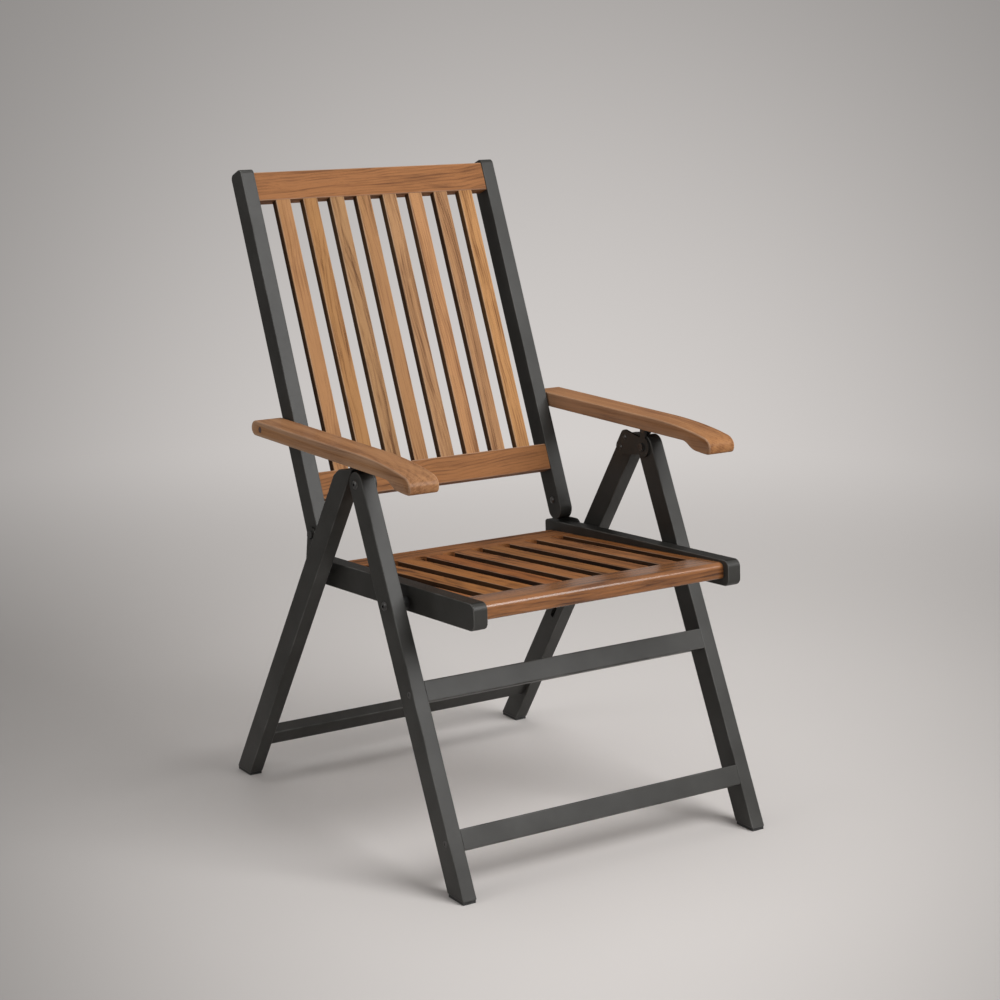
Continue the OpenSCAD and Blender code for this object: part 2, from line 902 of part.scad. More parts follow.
module back_rail(s, h) {
    color(wood)
        difference() {
            union() {
                side(-rail_in, rail_in)
                    back_frame()
                        translate([s, rail_face - back_rail_t])
                            square([h, back_rail_t]);
                both()
                    back_tenon(s, h, 0);
            }
            for (i = [0 : back_slats - 1])
                back_slat_at(i, glue_gap);
        }
}
module back_bottom_rail() {
    back_rail(bottom_rail_s, bottom_rail_h);
}
module back_top_rail() {
    back_rail(top_rail_s, top_rail_h);
}
module back_slat(i) {
    color(wood)
        back_slat_at(i, 0);
}

// Arm pivots: a pin through the arm and its bush, with a barrel in the stile
module arm_pins() {
    color(steel)
        both() {
            across(arm_pivot, barrel_d, rail_in + barrel_cover, rail_out);
            across(arm_pivot, arm_pin_d, rail_in + barrel_cover, arm_in + arm_w);
        }
}
module arm_bushes() {
    color(steel)
        both()
            difference() {
                union() {
                    across(arm_pivot, bush_d, arm_in - end_play, arm_in + bush_len);
                    across(arm_pivot, flange_d, arm_in - end_play - flange_t, arm_in - end_play);
                }
                across(arm_pivot, arm_pin_d + bolt_fit, rail_out, arm_in + arm_w);
            }
}

// A point on a cubic curve with the four control points c
function curve_point(c, t) = pow(1 - t, 3) * c[0] + 3 * t * pow(1 - t, 2) * c[1]
                             + 3 * t * t * (1 - t) * c[2] + pow(t, 3) * c[3];
curve_steps = 12;
function curve(c) = [for (k = [0 : curve_steps - 1]) curve_point(c, k / curve_steps)];

// Side outline of the arm: straight, then a falling top with a thick rounded front end
arm_half = arm_t / 2;
arm_nose_b = -arm_half - arm_lobe;
arm_bend_a = arm_front - 160;
arm_step_a = arm_front - 75;
arm_fall_a = arm_front - 20;
module arm_outline() {
    polygon(concat(
        [[0, -arm_half], [arm_step_a - 20, -arm_half]],
        curve([[arm_step_a, -arm_half], [arm_step_a + 18, -arm_half],
               [arm_step_a + 20, arm_nose_b + 1], [arm_front - 33, arm_nose_b + 1]]),
        curve([[arm_front - 33, arm_nose_b + 1], [arm_front - 22, arm_nose_b],
               [arm_front - 18, arm_nose_b], [arm_front - 9, arm_nose_b]]),
        curve([[arm_front - 9, arm_nose_b], [arm_front - 2, arm_nose_b],
               [arm_front, arm_nose_b + 4], [arm_front, arm_nose_b + 11]]),
        curve([[arm_front, arm_nose_b + 11], [arm_front, arm_half - arm_fall - 6],
               [arm_front - 8, arm_half - arm_fall + 2], [arm_fall_a, arm_half - arm_fall + 3]]),
        curve([[arm_fall_a, arm_half - arm_fall + 3],
               [arm_fall_a - 30, arm_half - arm_fall + 9],
               [arm_bend_a + 55, arm_half], [arm_bend_a, arm_half]]),
        [[arm_bend_a, arm_half], [0, arm_half]]
    ));
    rounded_bar(-arm_rear, arm_half, -arm_half, arm_half, arm_half - 0.01, 0.01);
}
module arm() {
    difference() {
        side(arm_in, arm_in + arm_w)
            arm_frame()
                arm_outline();
        across(arm_pivot, bush_d + bolt_fit, arm_in - cut, arm_in + bush_len + end_play);
        across(arm_pivot, arm_pin_d + bolt_fit, arm_in, arm_in + arm_w + cut);
        side(leg_in - plate_t - rack_play, leg_out)
            arm_frame()
                translate([latch_a - recess_margin, -arm_half - cut])
                    square([(notches - 1) * notch_pitch + 2 * recess_margin, recess_d + cut]);
        for (a = rack_screw_a)
            rack_screw_hole(a, 2 * glue_gap);
    }
}
module arm_left() {
    color(wood)
        mirror([1, 0, 0])
            arm();
}
module arm_right() {
    color(wood)
        arm();
}

// Notched rack, screwed up into the recess of the arm
notch_shift = 0.2;
module arm_rack() {
    difference() {
        side(leg_mid - rack_w / 2, leg_mid + rack_w / 2)
            arm_frame()
                difference() {
                    translate([rack_from, rack_tip])
                        square([rack_to - rack_from, recess_roof - rack_tip]);
                    for (k = [0 : notches - 1])
                        translate([latch_a + notch_shift + k * notch_pitch, rack_tip]) {
                            translate([0, notch_depth - notch_w / 2])
                                circle(d = notch_w);
                            translate([-notch_w / 2, -cut])
                                square([notch_w, notch_depth - notch_w / 2 + cut]);
                        }
                }
        for (a = rack_screw_a)
            rack_screw_hole(a, 2 * glue_gap);
    }
}
rack_screw_a = [rack_from + rack_screw_in, rack_to - rack_screw_in];
rack_screw_d = 4;
rack_screw_up = 7;
module rack_screw_hole(a, extra) {
    p = arm_pivot + [-a, rack_tip];
    translate([leg_mid, p[0] + y_shift, p[1] - cut])
        cylinder(d = rack_screw_d + extra, h = recess_roof - rack_tip + rack_screw_up + cut + extra);
}
module arm_rack_left() {
    color(steel)
        mirror([1, 0, 0])
            arm_rack();
}
module arm_rack_right() {
    color(steel)
        arm_rack();
}
module rack_screws() {
    color(steel)
        for (a = rack_screw_a)
            translate([leg_mid, arm_pivot[0] - a + y_shift, arm_pivot[1] + rack_tip])
                cylinder(d = rack_screw_d, h = recess_roof - rack_tip + rack_screw_up);
}
module rack_screws_left() {
    mirror([1, 0, 0])
        rack_screws();
}
module rack_screws_right() {
    rack_screws();
}

front_leg_left();
front_leg_right();
upper_stretcher();
lower_stretcher();
front_glides();
front_stretcher_bolts();
apex_bolts();
apex_nuts();
seat_pivot_bolts();
seat_pivot_nuts();
seat_pivot_washers();
rear_leg_left();
rear_leg_right();
rear_stretcher();
rear_glides();
apex_plate_left();
apex_plate_right();
latch_pins();
apex_plate_screws();
seat_rail_left();
seat_rail_right();
guide_studs();
seat_front_rail();
seat_rear_rail();
seat_slat(0);  // seat_slat_1
seat_slat(1);  // seat_slat_2
seat_slat(2);  // seat_slat_3
seat_slat(3);  // seat_slat_4
seat_slat(4);  // seat_slat_5
seat_slat(5);  // seat_slat_6
seat_slat(6);  // seat_slat_7
seat_slat(7);  // seat_slat_8
seat_slat(8);  // seat_slat_9
hinge_plates();
hinge_plate_screws();
back_bolts();
back_nuts();
back_barrels();
back_stile_left();
back_stile_right();
back_top_rail();
back_bottom_rail();
back_slat(0);  // back_slat_1
back_slat(1);  // back_slat_2
back_slat(2);  // back_slat_3
back_slat(3);  // back_slat_4
back_slat(4);  // back_slat_5
back_slat(5);  // back_slat_6
back_slat(6);  // back_slat_7
back_slat(7);  // back_slat_8
arm_pins();
arm_bushes();
arm_left();
arm_right();
arm_rack_left();
arm_rack_right();
rack_screws_left();
rack_screws_right();
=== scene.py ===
import math

import bmesh
import bpy
from mathutils import Matrix, Vector
from mathutils.geometry import intersect_point_line


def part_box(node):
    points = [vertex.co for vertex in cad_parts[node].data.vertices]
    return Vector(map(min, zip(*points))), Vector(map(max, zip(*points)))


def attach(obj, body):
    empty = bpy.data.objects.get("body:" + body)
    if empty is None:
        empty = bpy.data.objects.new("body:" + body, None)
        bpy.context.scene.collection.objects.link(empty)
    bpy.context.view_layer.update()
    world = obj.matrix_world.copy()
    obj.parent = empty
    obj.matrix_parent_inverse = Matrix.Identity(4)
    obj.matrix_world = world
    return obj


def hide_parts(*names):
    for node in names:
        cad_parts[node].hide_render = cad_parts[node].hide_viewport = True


bl_info = {
    "name": "Folding Garden Chair",
    "version": (1, 0, 0),
    "blender": (4, 5, 0),
    "location": "3D View > Sidebar > Garden Chair",
    "description": "Eases, paints and oils the parts of a folding garden chair",
    "category": "Add Mesh",
}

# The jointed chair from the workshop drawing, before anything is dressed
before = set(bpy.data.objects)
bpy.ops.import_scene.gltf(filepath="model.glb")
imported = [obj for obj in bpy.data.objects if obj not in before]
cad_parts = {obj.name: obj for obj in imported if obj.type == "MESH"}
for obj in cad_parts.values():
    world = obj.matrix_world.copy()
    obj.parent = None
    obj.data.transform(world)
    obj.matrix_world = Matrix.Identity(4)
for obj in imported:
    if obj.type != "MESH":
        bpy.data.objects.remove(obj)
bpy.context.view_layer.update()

MM = 0.001
SIDES = ("left", "right")
BLACK = (0, 0, 0)
WHITE = (1, 1, 1)

SEAT_SLATS = 9
BACK_SLATS = 8
SEAT_SLOPE = math.radians(4.81)
BACK_LEAN = math.radians(23.4)
# Width of the slots of the seat
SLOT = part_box("seat_slat_5")[0].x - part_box("seat_slat_4")[1].x
# Only the edges along a slat are longer than this
SLAT_LENGTH = 200 * MM

# Where the drawn parts are cut to take their outlines, clear of bores and tenons: so far outwards from the
# inner face of the part, and for the cross rails of the seat in the middle of a slot
LEG_SECTION = 24 * MM
SEAT_RAIL_SECTION = 6.5 * MM
STILE_SECTION = 1 * MM
GROOVE_SECTION = 1 * MM
ARM_SECTION = 2 * MM
MID_SLOT = 27.75 * MM

# Corners that lie this close together are one corner, as drawn and after the edges are eased
WELD = 0.002 * MM
CRUMB = 0.05 * MM
# Corners that lie this close to a cut are on it
ON_CUT = 0.0001 * MM
# Edges at which the faces turn more than this are eased
SHARP = math.radians(34)
# A corner of an outline that turns less than this is left out
STRAIGHT = math.radians(0.4)
# Faces that meet at less than this are shaded as one
SMOOTH = math.radians(38)
# Share of a rounding, from its outer edge, over which the mark of wear and painted highlight grows to its
# full strength
WEAR_AND_HIGHLIGHT_FADE = 0.55
# Corners of a round rod
ROUND_STEPS = 48

# Turns that lay a board's grain along the z axis of the wood's pattern
GRAIN_UP_BACK = (BACK_LEAN, 0, 0)
GRAIN_DOWN_SEAT = (math.radians(90) + SEAT_SLOPE, 0, 0)
GRAIN_LEVEL = (math.radians(90), 0, 0)
GRAIN_ACROSS = (0, math.radians(-90), 0)

# The wooden finishes: which woods they take, how the grain lies, and what else sets them apart
WOODS = {
    "back_slat_wood": ("back", GRAIN_UP_BACK, {"streak_share": 0.5, "painted_side_shade": 0.3}),
    "back_rail_wood": ("rail", GRAIN_ACROSS, {"ring_gap": 5.5 * MM, "ring_share": 0.36, "figure": 1.8}),
    "seat_slat_wood": ("seat", GRAIN_DOWN_SEAT, {"streak_share": 0.5, "painted_side_shade": 0.22}),
    "seat_rail_wood": ("seat", GRAIN_ACROSS, {"streak_share": 0.5}),
    "seat_front_wood": ("seat", GRAIN_ACROSS, {"streak_share": 0.5, "coat": 1.0}),
    "arm_board_wood": (
        "arm",
        GRAIN_LEVEL,
        {"ring_share": 0.2, "streak_share": 0.36, "wear_and_highlight_share": 0.35, "figure": 0.4, "coat": 0.15},
    ),
}

# Numbers that give each board its own place in the pattern of its wood; slats count on from theirs
PLANKS = {
    "seat_slats": 1,
    "back_top_rail": 21,
    "back_bottom_rail": 24,
    "seat_front_rail": 31,
    "seat_rear_rail": 34,
    "back_slats": 41,
    "arm_left": 61,
    "arm_right": 64,
}

# The pool of light painted on the studio's floor and backdrop is brightest at this slant, in metres aside for
# each metre ahead of the camera, and at this nearness, which is one over the metres ahead. It falls off over
# so much slant and so much nearness.
BRIGHT_SLANT = 0.022
BRIGHT_NEAR = 0.238
FALL_SLANT = 0.276
FALL_NEAR = 0.256
# Power of the fall, and the shares of the brightest grey far out and behind the camera
FALL_POWER = 1.35
FAR_GREY = 0.338
EVEN_GREY = 0.55

# Name, place, width and share of the key light's power of each lamp, and the point that all of them face
LAMPS = (
    ("key_lamp", (1.3, -3.2, 3.0), 3.0, 1.0),
    ("top_lamp", (0.2, 0.8, 3.6), 2.4, 0.13),
    ("side_lamp", (-3.2, 0.2, 1.8), 2.0, 0.11),
)
LAMP_AIM = (0, 0, 0.45)
FLOOR_RADIUS = 900
CAMERA_REACH = 3000


def colour(name, description, default):
    return bpy.props.FloatVectorProperty(
        name=name,
        description=description,
        default=default,
        size=3,
        min=0,
        max=1,
        subtype="COLOR",
    )


def length(name, description, default):
    return bpy.props.FloatProperty(
        name=name,
        description=description,
        default=default,
        min=0,
        unit="LENGTH",
        subtype="DISTANCE",
    )


def amount(name, description, default, unit="NONE", least=0):
    return bpy.props.FloatProperty(name=name, description=description, default=default, min=least, unit=unit)


def spot(name, description, default):
    return bpy.props.FloatVectorProperty(
        name=name,
        description=description,
        default=default,
        size=3,
        subtype="TRANSLATION",
    )


class ChairBars(bpy.types.PropertyGroup):
    """The painted bars"""

    bar_edge: length("Bar edge", "Radius of the eased edges of the painted bars", 1.8 * MM)
    stretcher_edge: length("Stretcher edge", "Radius of the eased edges of the cross bars", 2.2 * MM)
    nut_recess: length("Nut recess", "Depth of the round recess for the seat pivot nut", 5.5 * MM)
    groove: length("Groove", "Depth of the guide groove in the rear legs", 9 * MM)
    paint: colour("Paint", "Charcoal satin paint of the frame", (0.033, 0.0318, 0.0285))
    # Edge colour of the paint: partly worn paint, partly a painted highlight along the edges
    paint_wear_and_highlight: colour("Worn paint", "Paint along rubbed edges", (0.15, 0.149, 0.142))


class ChairBoards(bpy.types.PropertyGroup):
    """The wooden boards"""

    slat_edge: length("Slat edge", "Radius of the long edges of the slats", 2.4 * MM)
    rail_edge: length("Rail edge", "Radius of the edges of the rails of the back", 2 * MM)
    seat_edge: length("Seat edge", "Radius of the edges of the cross rails of the seat", 0.8 * MM)
    arm_edge: length("Arm edge", "Radius of the edges of the arms", 3.2 * MM)
    back_pale: colour("Back, pale", "Pale wood of the back", (0.45, 0.238, 0.102))
    back_dark: colour("Back, dark", "Dark wood of the back", (0.17, 0.072, 0.027))
    seat_pale: colour("Seat, pale", "Pale wood of the seat", (0.300, 0.122, 0.039))
    seat_dark: colour("Seat, dark", "Dark wood of the seat", (0.062, 0.022, 0.008))
    arm_pale: colour("Arm, pale", "Pale wood of the arms", (0.40, 0.203, 0.084))
    arm_dark: colour("Arm, dark", "Dark wood of the arms", (0.200, 0.088, 0.034))


class ChairHardware(bpy.types.PropertyGroup):
    """Bolts, screws, plates and feet"""

    bolt: length("Bolt", "Shank of the pivot bolts", 8 * MM)
    socket: length("Socket", "Width of the hexagon sockets", 4.4 * MM)
    steel: colour("Steel", "Blackened steel", (0.085, 0.083, 0.08))
    browned: colour("Browned steel", "Browned steel of the arm pins", (0.085, 0.036, 0.024))
    plastic: colour("Feet", "Black plastic of the feet and washers", (0.018, 0.018, 0.018))


class ChairStage(bpy.types.PropertyGroup):
    """Floor, light and camera"""

    # The floor's brightest grey is the middle of the pool of light painted on the floor and backdrop
    floor: colour("Floor", "Brightest grey of the studio floor", (0.678, 0.646, 0.626))
    key: amount("Key light", "Power of the large lamp", 172, unit="POWER")
    fill: amount("Fill light", "Strength of the light all round", 0.28)
    eye: spot("Camera", "Where the camera stands", (-1.9423, -2.9941, 1.2986))
    aim: spot("Aim", "What the camera looks at", (-0.0031, -0.0528, 0.5223))
    lens: amount("Lens", "Focal length in mm", 79.63, unit="CAMERA", least=1)


def groups_of_points(bm):
    """The separate outlines or shells in a bmesh, the widest first."""
    seen = set()
    groups = []
    for first in bm.verts:
        if first in seen:
            continue
        seen.add(first)
        group = [first]
        # The group grows while it is walked through
        for point in group:
            for edge in point.link_edges:
                other = edge.other_vert(point)
                if other not in seen:
                    seen.add(other)
                    group.append(other)
        groups.append(group)

    def reach(group):
        spans = [max(p.co[i] for p in group) - min(p.co[i] for p in group) for i in range(3)]
        return sum(spans)

    return sorted(groups, key=reach, reverse=True)


def drawn_mesh(node):
    """A bmesh of a drawn part, with the seams between its faces closed."""
    bm = bmesh.new()
    bm.from_mesh(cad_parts[node].data)
    bmesh.ops.remove_doubles(bm, verts=bm.verts[:], dist=WELD)
    return bm


def outline(node, x, rank=0, merge=0.06 * MM):
    """The closed outline of a drawn part where it is cut at x: the widest, or the one of that rank."""
    bm = drawn_mesh(node)
    bmesh.ops.bisect_plane(
        bm,
        geom=bm.verts[:] + bm.edges[:] + bm.faces[:],
        dist=ON_CUT,
        plane_co=(x, 0, 0),
        plane_no=(1, 0, 0),
        clear_inner=True,
        clear_outer=True,
    )
    bmesh.ops.remove_doubles(bm, verts=bm.verts[:], dist=merge)
    groups = groups_of_points(bm)
    if rank >= len(groups):
        raise RuntimeError(f"{node} has no outline {rank} at x = {x:.4f}")
    others = [point for group in groups if group is not groups[rank] for point in group]
    bmesh.ops.delete(bm, geom=others, context="VERTS")
    return bm


def thicken(bm, x0, x1):
    """Fills a flat outline and draws it out from x0 to x1."""
    for point in bm.verts:
        point.co.x = x0
    if any(len(point.link_edges) != 2 for point in bm.verts):
        raise RuntimeError("the outline isn't one closed line")
    bmesh.ops.contextual_create(bm, geom=bm.edges[:])
    straight = [point for point in bm.verts if point.calc_edge_angle(0) < STRAIGHT]
    bmesh.ops.dissolve_verts(bm, verts=straight)
    drawn = bmesh.ops.extrude_face_region(bm, geom=bm.faces[:])
    moved = [item for item in drawn["geom"] if isinstance(item, bmesh.types.BMVert)]
    bmesh.ops.translate(bm, verts=moved, vec=(x1 - x0, 0, 0))
    bmesh.ops.recalc_face_normals(bm, faces=bm.faces[:])
    if any(not edge.is_manifold for edge in bm.edges):
        raise RuntimeError("the bar isn't closed")
    return bm


def block(low, high):
    """A plain block between two corners."""
    bm = bmesh.new()
    bmesh.ops.create_cube(bm, size=1)
    low = Vector(low)
    high = Vector(high)
    bmesh.ops.scale(bm, verts=bm.verts[:], vec=high - low)
    bmesh.ops.translate(bm, verts=bm.verts[:], vec=(low + high) / 2)
    return bm


def rod(middle, radius, long, turn=math.radians(90), axis="Y"):
    """A round rod about its middle: along x, or along z and turned."""
    bm = bmesh.new()
    bmesh.ops.create_cone(bm, cap_ends=True, segments=ROUND_STEPS, radius1=radius, radius2=radius, depth=long)
    bmesh.ops.rotate(bm, verts=bm.verts[:], matrix=Matrix.Rotation(turn, 3, axis))
    bmesh.ops.translate(bm, verts=bm.verts[:], vec=middle)
    return bm


def runs_across(edge):
    """Whether an edge runs across the width of the chair."""
    return abs(edge.verts[0].co.x - edge.verts[1].co.x) > MM


def runs_along(edge):
    """Whether an edge runs along a slat."""
    return edge.calc_length() > SLAT_LENGTH


def ease(bm, radius, choose=None, segments=4):
    """Rounds the sharp edges and marks the middle of each rounding, where the finish shows wear and a painted
    highlight.
    """
    wear_and_highlight = bm.verts.layers.float.get("wear_and_highlight") or bm.verts.layers.float.new("wear_and_highlight")
    edges = [edge for edge in bm.edges if edge.calc_face_angle(0) > SHARP]
    if choose is not None:
        edges = [edge for edge in edges if choose(edge)]
    sharp = [(edge.verts[0].co.copy(), edge.verts[1].co.copy()) for edge in edges]
    made = bmesh.ops.bevel(
        bm,
        geom=edges,
        offset=radius,
        offset_type="OFFSET",
        segments=segments,
        profile=0.5,
        affect="EDGES",
        clamp_overlap=True,
        material=-1,
    )
    near = {}
    for point in {p for face in made["faces"] for p in face.verts}:
        near[point] = min((point.co - intersect_point_line(point.co, a, b)[0]).length for a, b in sharp)
    widest = max(near.values())
    for point, distance in near.items():
        point[wear_and_highlight] = max(0.0, min(1.0, (1 - distance / widest) / WEAR_AND_HIGHLIGHT_FADE))
    # Edges shorter than this would upset an exact cut
    bmesh.ops.remove_doubles(bm, verts=bm.verts[:], dist=CRUMB)
    return bm


def piece_of(bm, name):
    """Turns a bmesh into an object of the scene."""
    bmesh.ops.recalc_face_normals(bm, faces=bm.faces[:])
    mesh = bpy.data.meshes.new(name)
    bm.to_mesh(mesh)
    bm.free()
    piece = bpy.data.objects.new(name, mesh)
    bpy.context.scene.collection.objects.link(piece)
    return piece


def cut_away(piece, *cutters):
    """Takes each cutter's volume out of a piece."""
    for bm in cutters:
        cutter = piece_of(bm, "cutter")
        saw = piece.modifiers.new("Cut", "BOOLEAN")
        saw.operation = "DIFFERENCE"
        saw.solver = "EXACT"
        saw.object = cutter
        done = piece.evaluated_get(bpy.context.evaluated_depsgraph_get())
        mesh = bpy.data.meshes.new_from_object(done)
        piece.modifiers.clear()
        piece.data = mesh
        bpy.data.objects.remove(cutter)
        if not mesh.polygons:
            raise RuntimeError(f"nothing is left of {piece.name}")
    return piece


def dress(piece, body, nodes, material, plank=0):
    """Shades a piece, gives it its finish and sets it on the body of the drawn parts that it stands for."""
    mesh = piece.data
    bm = bmesh.new()
    bm.from_mesh(mesh)
    for edge in bm.edges:
        edge.smooth = edge.calc_face_angle(0) < SMOOTH
    for face in bm.faces:
        face.smooth = True
        face.material_index = 0
    bm.to_mesh(mesh)
    bm.free()
    mesh.materials.clear()
    mesh.materials.append(material)
    if mesh.attributes.get("wear_and_highlight") is None:
        mesh.attributes.new("wear_and_highlight", "FLOAT", "POINT")
    number = mesh.attributes.new("board", "FLOAT", "POINT")
    number.data.foreach_set("value", [float(plank)] * len(mesh.vertices))
    soften = piece.modifiers.new("Weighted Normal", "WEIGHTED_NORMAL")
    soften.keep_sharp = True
    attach(piece, body)
    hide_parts(*nodes)
    return piece


def refinish(material, *nodes):
    """Gives drawn parts that stay as they are their finish."""
    for node in nodes:
        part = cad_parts[node]
        if not part.material_slots:
            part.data.materials.append(material)
        for place in part.material_slots:
            place.material = material


class Recipe:
    """A material or a world that is built up node by node."""

    def __init__(self, name, kind="materials"):
        self.made = getattr(bpy.data, kind).new(name)
        self.made.use_nodes = True
        self.tree = self.made.node_tree
        self.tree.nodes.clear()

    def put(self, kind, inputs=None, **settings):
        node = self.tree.nodes.new(kind)
        for name, value in settings.items():
            setattr(node, name, value)
        for key, value in (inputs or {}).items():
            if isinstance(value, bpy.types.NodeSocket):
                self.tree.links.new(value, node.inputs[key])
            else:
                node.inputs[key].default_value = value
        return node

    def place(self):
        return self.put("ShaderNodeTexCoord").outputs["Object"]

    def facing(self, axis):
        """How far the surface faces along an axis of the object."""
        normal = self.put("ShaderNodeTexCoord").outputs["Normal"]
        return self.put("ShaderNodeSeparateXYZ", {0: normal}).outputs[axis]

    def attribute(self, name):
        return self.put("ShaderNodeAttribute", attribute_name=name).outputs["Fac"]

    def math(self, operation, a, b=0.5, clamp=False):
        return self.put("ShaderNodeMath", {0: a, 1: b}, operation=operation, use_clamp=clamp).outputs[0]

    def vector(self, operation, a, b=(0, 0, 0), c=(0, 0, 0)):
        node = self.put("ShaderNodeVectorMath", {0: a, 1: b, 2: c}, operation=operation)
        return node.outputs["Value" if operation in ("LENGTH", "DOT_PRODUCT") else "Vector"]

    def noise(self, place, stretch, detail=2.0, roughness=0.5, output="Fac"):
        """Noise with so many cells a metre along each axis."""
        cells = self.vector("MULTIPLY", place, stretch)
        inputs = {"Vector": cells, "Scale": 1.0, "Detail": detail, "Roughness": roughness}
        return self.put("ShaderNodeTexNoise", inputs).outputs[output]

    def level(self, value, low, high, to_low=0.0, to_high=1.0, smooth=False):
        """Maps the range from low to high to another one, and what lies beyond to its ends."""
        inputs = {"Value": value, "From Min": low, "From Max": high, "To Min": to_low, "To Max": to_high}
        kind = "SMOOTHSTEP" if smooth else "LINEAR"
        return self.put("ShaderNodeMapRange", inputs, interpolation_type=kind).outputs["Result"]

    def mix(self, share, a, b):
        a, b = (tone if isinstance(tone, bpy.types.NodeSocket) else (*tone, 1) for tone in (a, b))
        return self.put("ShaderNodeMix", {0: share, 6: a, 7: b}, data_type="RGBA").outputs[2]

    def ramp(self, share, first, last, *stops):
        """Runs from the first to the last (position, colour) through the other stops."""
        node = self.put("ShaderNodeValToRGB", {"Fac": share})
        elements = node.color_ramp.elements
        for element, (position, tone) in zip(elements, (first, last)):
            element.position = position
            element.color = (*tone, 1)
        for position, tone in stops:
            elements.new(position).color = (*tone, 1)
        return node.outputs["Color"]

    def clouded(self, cloud, plain, darker, paler):
        """A plain tone that drifts a little darker and a little paler."""
        share = self.level(cloud, 0.3, 0.7)
        return self.mix(share, between(plain, BLACK, darker), between(plain, WHITE, paler))

    def surface(self, tone, roughness, height, depth, strength, metal=0.0, specular=0.5, coat=0.0):
        bump = self.put("ShaderNodeBump", {"Height": height, "Distance": depth, "Strength": strength})
        shader = self.put(
            "ShaderNodeBsdfPrincipled",
            {
                "Base Color": tone,
                "Roughness": roughness,
                "Metallic": metal,
                "Specular IOR Level": specular,
                "Coat Weight": coat,
                "Coat Roughness": 0.2,
                "Normal": bump.outputs["Normal"],
            },
        )
        self.put("ShaderNodeOutputMaterial", {"Surface": shader.outputs[0]})
        return self.made


def between(a, b, share):
    return tuple(x + (y - x) * share for x, y in zip(a, b))


def oiled_wood(
    name,
    pale,
    dark,
    turn,
    ring_gap=4.2 * MM,
    ring_share=0.3,
    streak_share=0.42,
    wear_and_highlight_share=0.55,
    painted_side_shade=1.0,
    figure=1.0,
    coat=0.0,
):
    """Straight-grained hardwood: growth rings about a wandering heart, fibres, pores, and edges paled partly
    by wear and partly as a painted highlight.

    The shares say how much the rings and the streaks pale the wood and how far the edges pale with wear and a
    painted highlight. A figure over 1 makes the rings wander more, the side shade is the brightness that
    painted shade leaves on the narrow sides, and coat is a gloss.
    """
    r = Recipe(name)

    # Each board is cut from its own place in the pattern, and its grain wanders
    draw = r.put("ShaderNodeTexWhiteNoise", {"W": r.attribute("board")}, noise_dimensions="1D")
    chance = draw.outputs["Color"]
    laid = r.put("ShaderNodeMapping", {"Vector": r.place(), "Rotation": turn}).outputs["Vector"]
    board = r.vector("MULTIPLY_ADD", chance, (0.06, 0.05, 1.7), laid)
    wander = r.noise(board, (6, 6, 3.2), detail=2, output="Color")
    bent = r.vector("MULTIPLY_ADD", wander, (0.034 * figure, 0.034 * figure, 0), board)

    # Rings about a heart that leans a little: a pale rise, then a dark late part
    lean = {"Vector": bent, "Location": (0.02, 0.03, 0), "Rotation": (0.045, 0.03, 0)}
    rings = r.put(
        "ShaderNodeTexWave",
        {
            "Vector": r.put("ShaderNodeMapping", lean).outputs["Vector"],
            "Scale": 0.314 / ring_gap,
            "Distortion": 1.4,
            "Detail": 2.0,
            "Detail Scale": 0.6,
        },
        wave_type="RINGS",
        rings_direction="Z",
        wave_profile="SAW",
    ).outputs["Fac"]
    greys = ((0.0, 0.25), (1.0, 0.3), (0.12, 0.72), (0.55, 0.66), (0.88, 0.12))
    growth = r.ramp(rings, *((position, (grey, grey, grey)) for position, grey in greys))

    fibre = r.noise(bent, (480, 480, 4), detail=3, roughness=0.6)
    streak = r.noise(bent, (110, 110, 1.3), detail=3, roughness=0.6)
    cloud = r.noise(board, (16, 16, 7), detail=3)
    pores = r.level(r.noise(bent, (1100, 1100, 16), detail=1), 0.58, 0.7)

    # Rings, streaks, fibres and clouds add up to the tone from dark to pale
    ring_part = r.math("MULTIPLY", growth, ring_share)
    streak_part = r.math("MULTIPLY", r.level(streak, 0.36, 0.64), streak_share)
    fibre_part = r.math("MULTIPLY", r.level(fibre, 0.3, 0.7), 0.2)
    cloud_part = r.math("MULTIPLY", r.level(cloud, 0.36, 0.64), 0.24)
    coarse = r.math("ADD", ring_part, streak_part)
    fine = r.math("ADD", fibre_part, cloud_part)
    tone = r.math("ADD", coarse, fine, clamp=True)
    blend = r.ramp(tone, (0.3, dark), (0.74, pale), (0.47, between(dark, pale, 0.5)))

    # Boards differ a little in hue, strength and brightness
    parts = r.put("ShaderNodeSeparateColor", {"Color": chance}).outputs
    tinted = r.put(
        "ShaderNodeHueSaturation",
        {
            "Hue": r.level(parts[0], 0, 1, 0.494, 0.503),
            "Saturation": r.level(parts[1], 0, 1, 0.96, 1.06),
            "Value": r.level(parts[2], 0, 1, 0.84, 1.1),
            "Color": blend,
        },
    ).outputs["Color"]
    dotted = r.mix(r.math("MULTIPLY", pores, 0.24), tinted, between(dark, BLACK, 0.55))
    # Rounded edges pale, partly from wear and partly as a painted highlight
    wear_and_highlight_strength = r.level(cloud, 0.35, 0.6, 0.25, wear_and_highlight_share)
    rubbed_and_highlit = r.math("MULTIPLY", r.attribute("wear_and_highlight"), wear_and_highlight_strength, clamp=True)
    final = r.mix(rubbed_and_highlit, dotted, between(pale, (1, 0.9, 0.78), 0.3))
    # Painted shade on the narrow sides of the slats, as if their neighbours shaded them: faces that look
    # sideways are darkened
    if painted_side_shade < 1:
        sideways = r.math("ABSOLUTE", r.facing("X"))
        shade = r.level(sideways, 0.72, 0.98, 1.0, painted_side_shade, smooth=True)
        shades = r.put("ShaderNodeCombineXYZ", {0: shade, 1: shade, 2: shade}).outputs[0]
        final = r.vector("MULTIPLY", final, shades)

    raised = r.math("ADD", fibre, r.math("MULTIPLY", growth, 0.4))
    height = r.math("SUBTRACT", raised, pores)
    gloss = r.level(fibre, 0.3, 0.7, 0.58, 0.72)
    return r.surface(final, gloss, height, 0.25 * MM, 0.35, specular=0.14, coat=coat)


